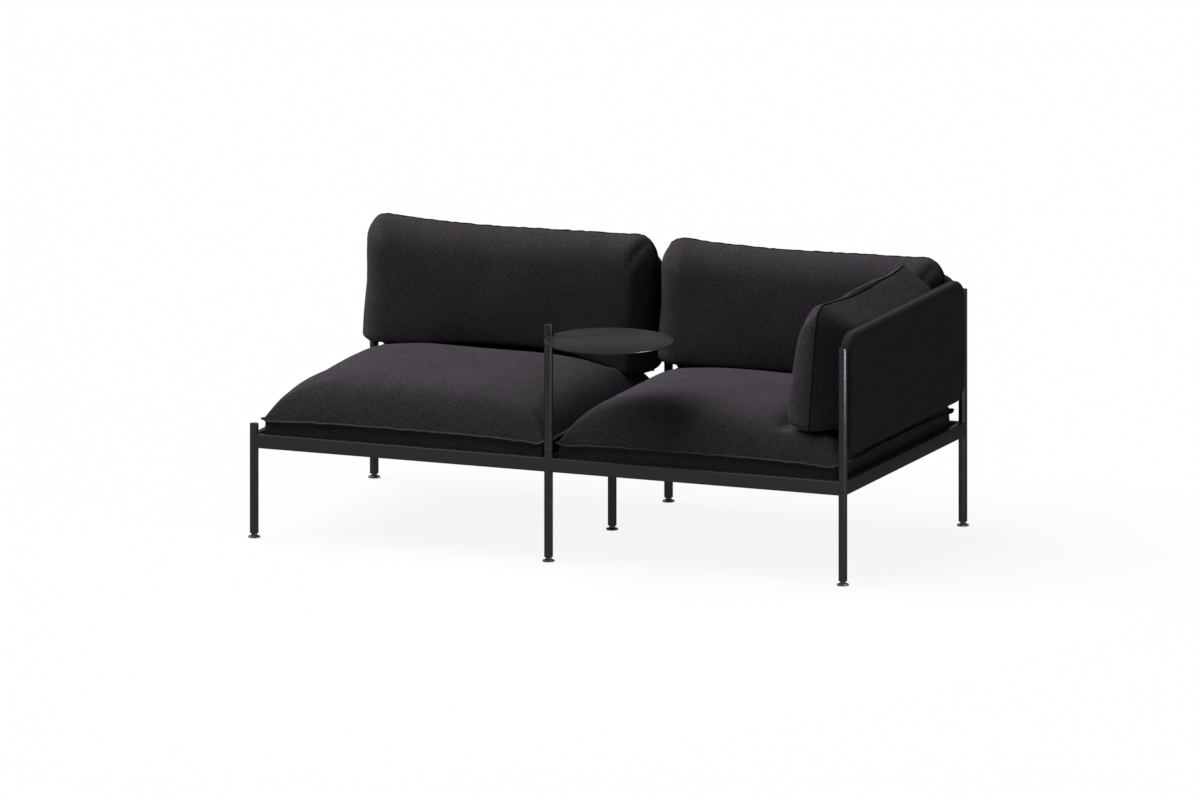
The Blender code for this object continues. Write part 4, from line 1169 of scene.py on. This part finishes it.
def seenShare(tree):
    # 1 for a ray from the camera, gloss or glass, and 0 for the light that the surface gives
    rays = addNode(tree, "ShaderNodeLightPath").outputs
    return calc(tree, "MAXIMUM", rays["Is Camera Ray"],
                calc(tree, "MAXIMUM", rays["Is Glossy Ray"], rays["Is Transmission Ray"]))


def makeFloor():
    shape = bmesh.new()
    bmesh.ops.create_grid(shape, x_segments=1, y_segments=1, size=stageSettings["floorSize"] / 2)
    mesh = bpy.data.meshes.new("floor")
    shape.to_mesh(mesh)
    shape.free()
    floor = bpy.data.objects.new("floor", mesh)
    scene.collection.objects.link(floor)
    material, tree, shader = newMaterial("pale floor")
    seen = seenShare(tree)
    # seen from the camera the floor is white but for the object's shadow
    paint = blendColor(tree, seen, stageSettings["floorColor"], stageSettings["seenColor"])
    feed(tree, shader, {"Base Color": paint, "Roughness": 0.9})
    glow = addNode(tree, "ShaderNodeEmission", {"Color": (1, 1, 1, 1)}).outputs[0]
    share = calc(tree, "MULTIPLY", seen, stageSettings["whiteShare"])
    mix = addNode(tree, "ShaderNodeMixShader", {0: share, 1: shader.outputs[0], 2: glow})
    feed(tree, tree.nodes["Material Output"], {"Surface": mix.outputs[0]})
    mesh.materials.append(material)


def makeWorld():
    world = bpy.data.worlds.new("studio")
    scene.world = world
    world.use_nodes = True
    tree = world.node_tree
    strength = mapped(tree, seenShare(tree), 0, 1, stageSettings["ambient"], 1.0)
    feed(tree, tree.nodes["Background"], {"Color": (1, 1, 1, 1), "Strength": strength})


# a wide, far lamp: strength 1 lights a surface that faces it so that its colour shows as written
def addLamp(name, strength, height, way, width):
    lamp = bpy.data.lights.new(name, "SUN")
    lamp.energy = strength * pi
    lamp.angle = radians(width)
    holder = bpy.data.objects.new(name, lamp)
    up, around = radians(height), radians(way)
    spot = Vector((cos(up) * cos(around), cos(up) * sin(around), sin(up)))
    holder.location = spot * stageSettings["lampDistance"]
    holder.rotation_euler = (-spot).to_track_quat("-Z", "Y").to_euler()
    scene.collection.objects.link(holder)


# a tall strip at the right that only shows as the bright line down the round tubes
def addStrip(name, power, place, target, size):
    lamp = bpy.data.lights.new(name, "AREA")
    lamp.shape = "RECTANGLE"
    lamp.size, lamp.size_y = size
    lamp.energy = power
    holder = bpy.data.objects.new(name, lamp)
    holder.location = place
    way = Vector(target) - Vector(place)
    holder.rotation_euler = way.to_track_quat("-Z", "Y").to_euler()
    holder.visible_diffuse = False
    holder.visible_camera = False
    scene.collection.objects.link(holder)


makeFloor()
makeWorld()
addStrip("strip right", **stageSettings["strip"])
for name, lampValues in stageSettings["lamps"].items():
    addLamp(name, *lampValues)

# The photograph has no perspective: the view turns 22 degrees and looks down 11.6
cameraSettings = {"turn": radians(22.07), "tilt": radians(11.645), "pixelsPerMetre": 352.9,
                  "legPixel": (254.215, 537.15), "image": (1200, 800), "distance": 6}
turn, tilt = cameraSettings["turn"], cameraSettings["tilt"]
rightWay = Vector((cos(turn), sin(turn), 0))
viewWay = Vector((-sin(turn) * cos(tilt), cos(turn) * cos(tilt), -sin(tilt)))
upWay = rightWay.cross(viewWay)
perMetre = cameraSettings["pixelsPerMetre"]
across = (cameraSettings["image"][0] / 2 - cameraSettings["legPixel"][0]) / perMetre
above = (cameraSettings["legPixel"][1] - cameraSettings["image"][1] / 2) / perMetre
cameraSpot = (layout + rightWay * across + upWay * above
              - viewWay * cameraSettings["distance"])
cameraData = bpy.data.cameras.new("camera")
cameraData.type = "ORTHO"
cameraData.ortho_scale = cameraSettings["image"][0] / perMetre
camera = bpy.data.objects.new("camera", cameraData)
camera.matrix_world = turned(cameraSpot, rightWay, upWay, -viewWay)
scene.collection.objects.link(camera)
scene.camera = camera
scene.view_settings.view_transform = "Standard"
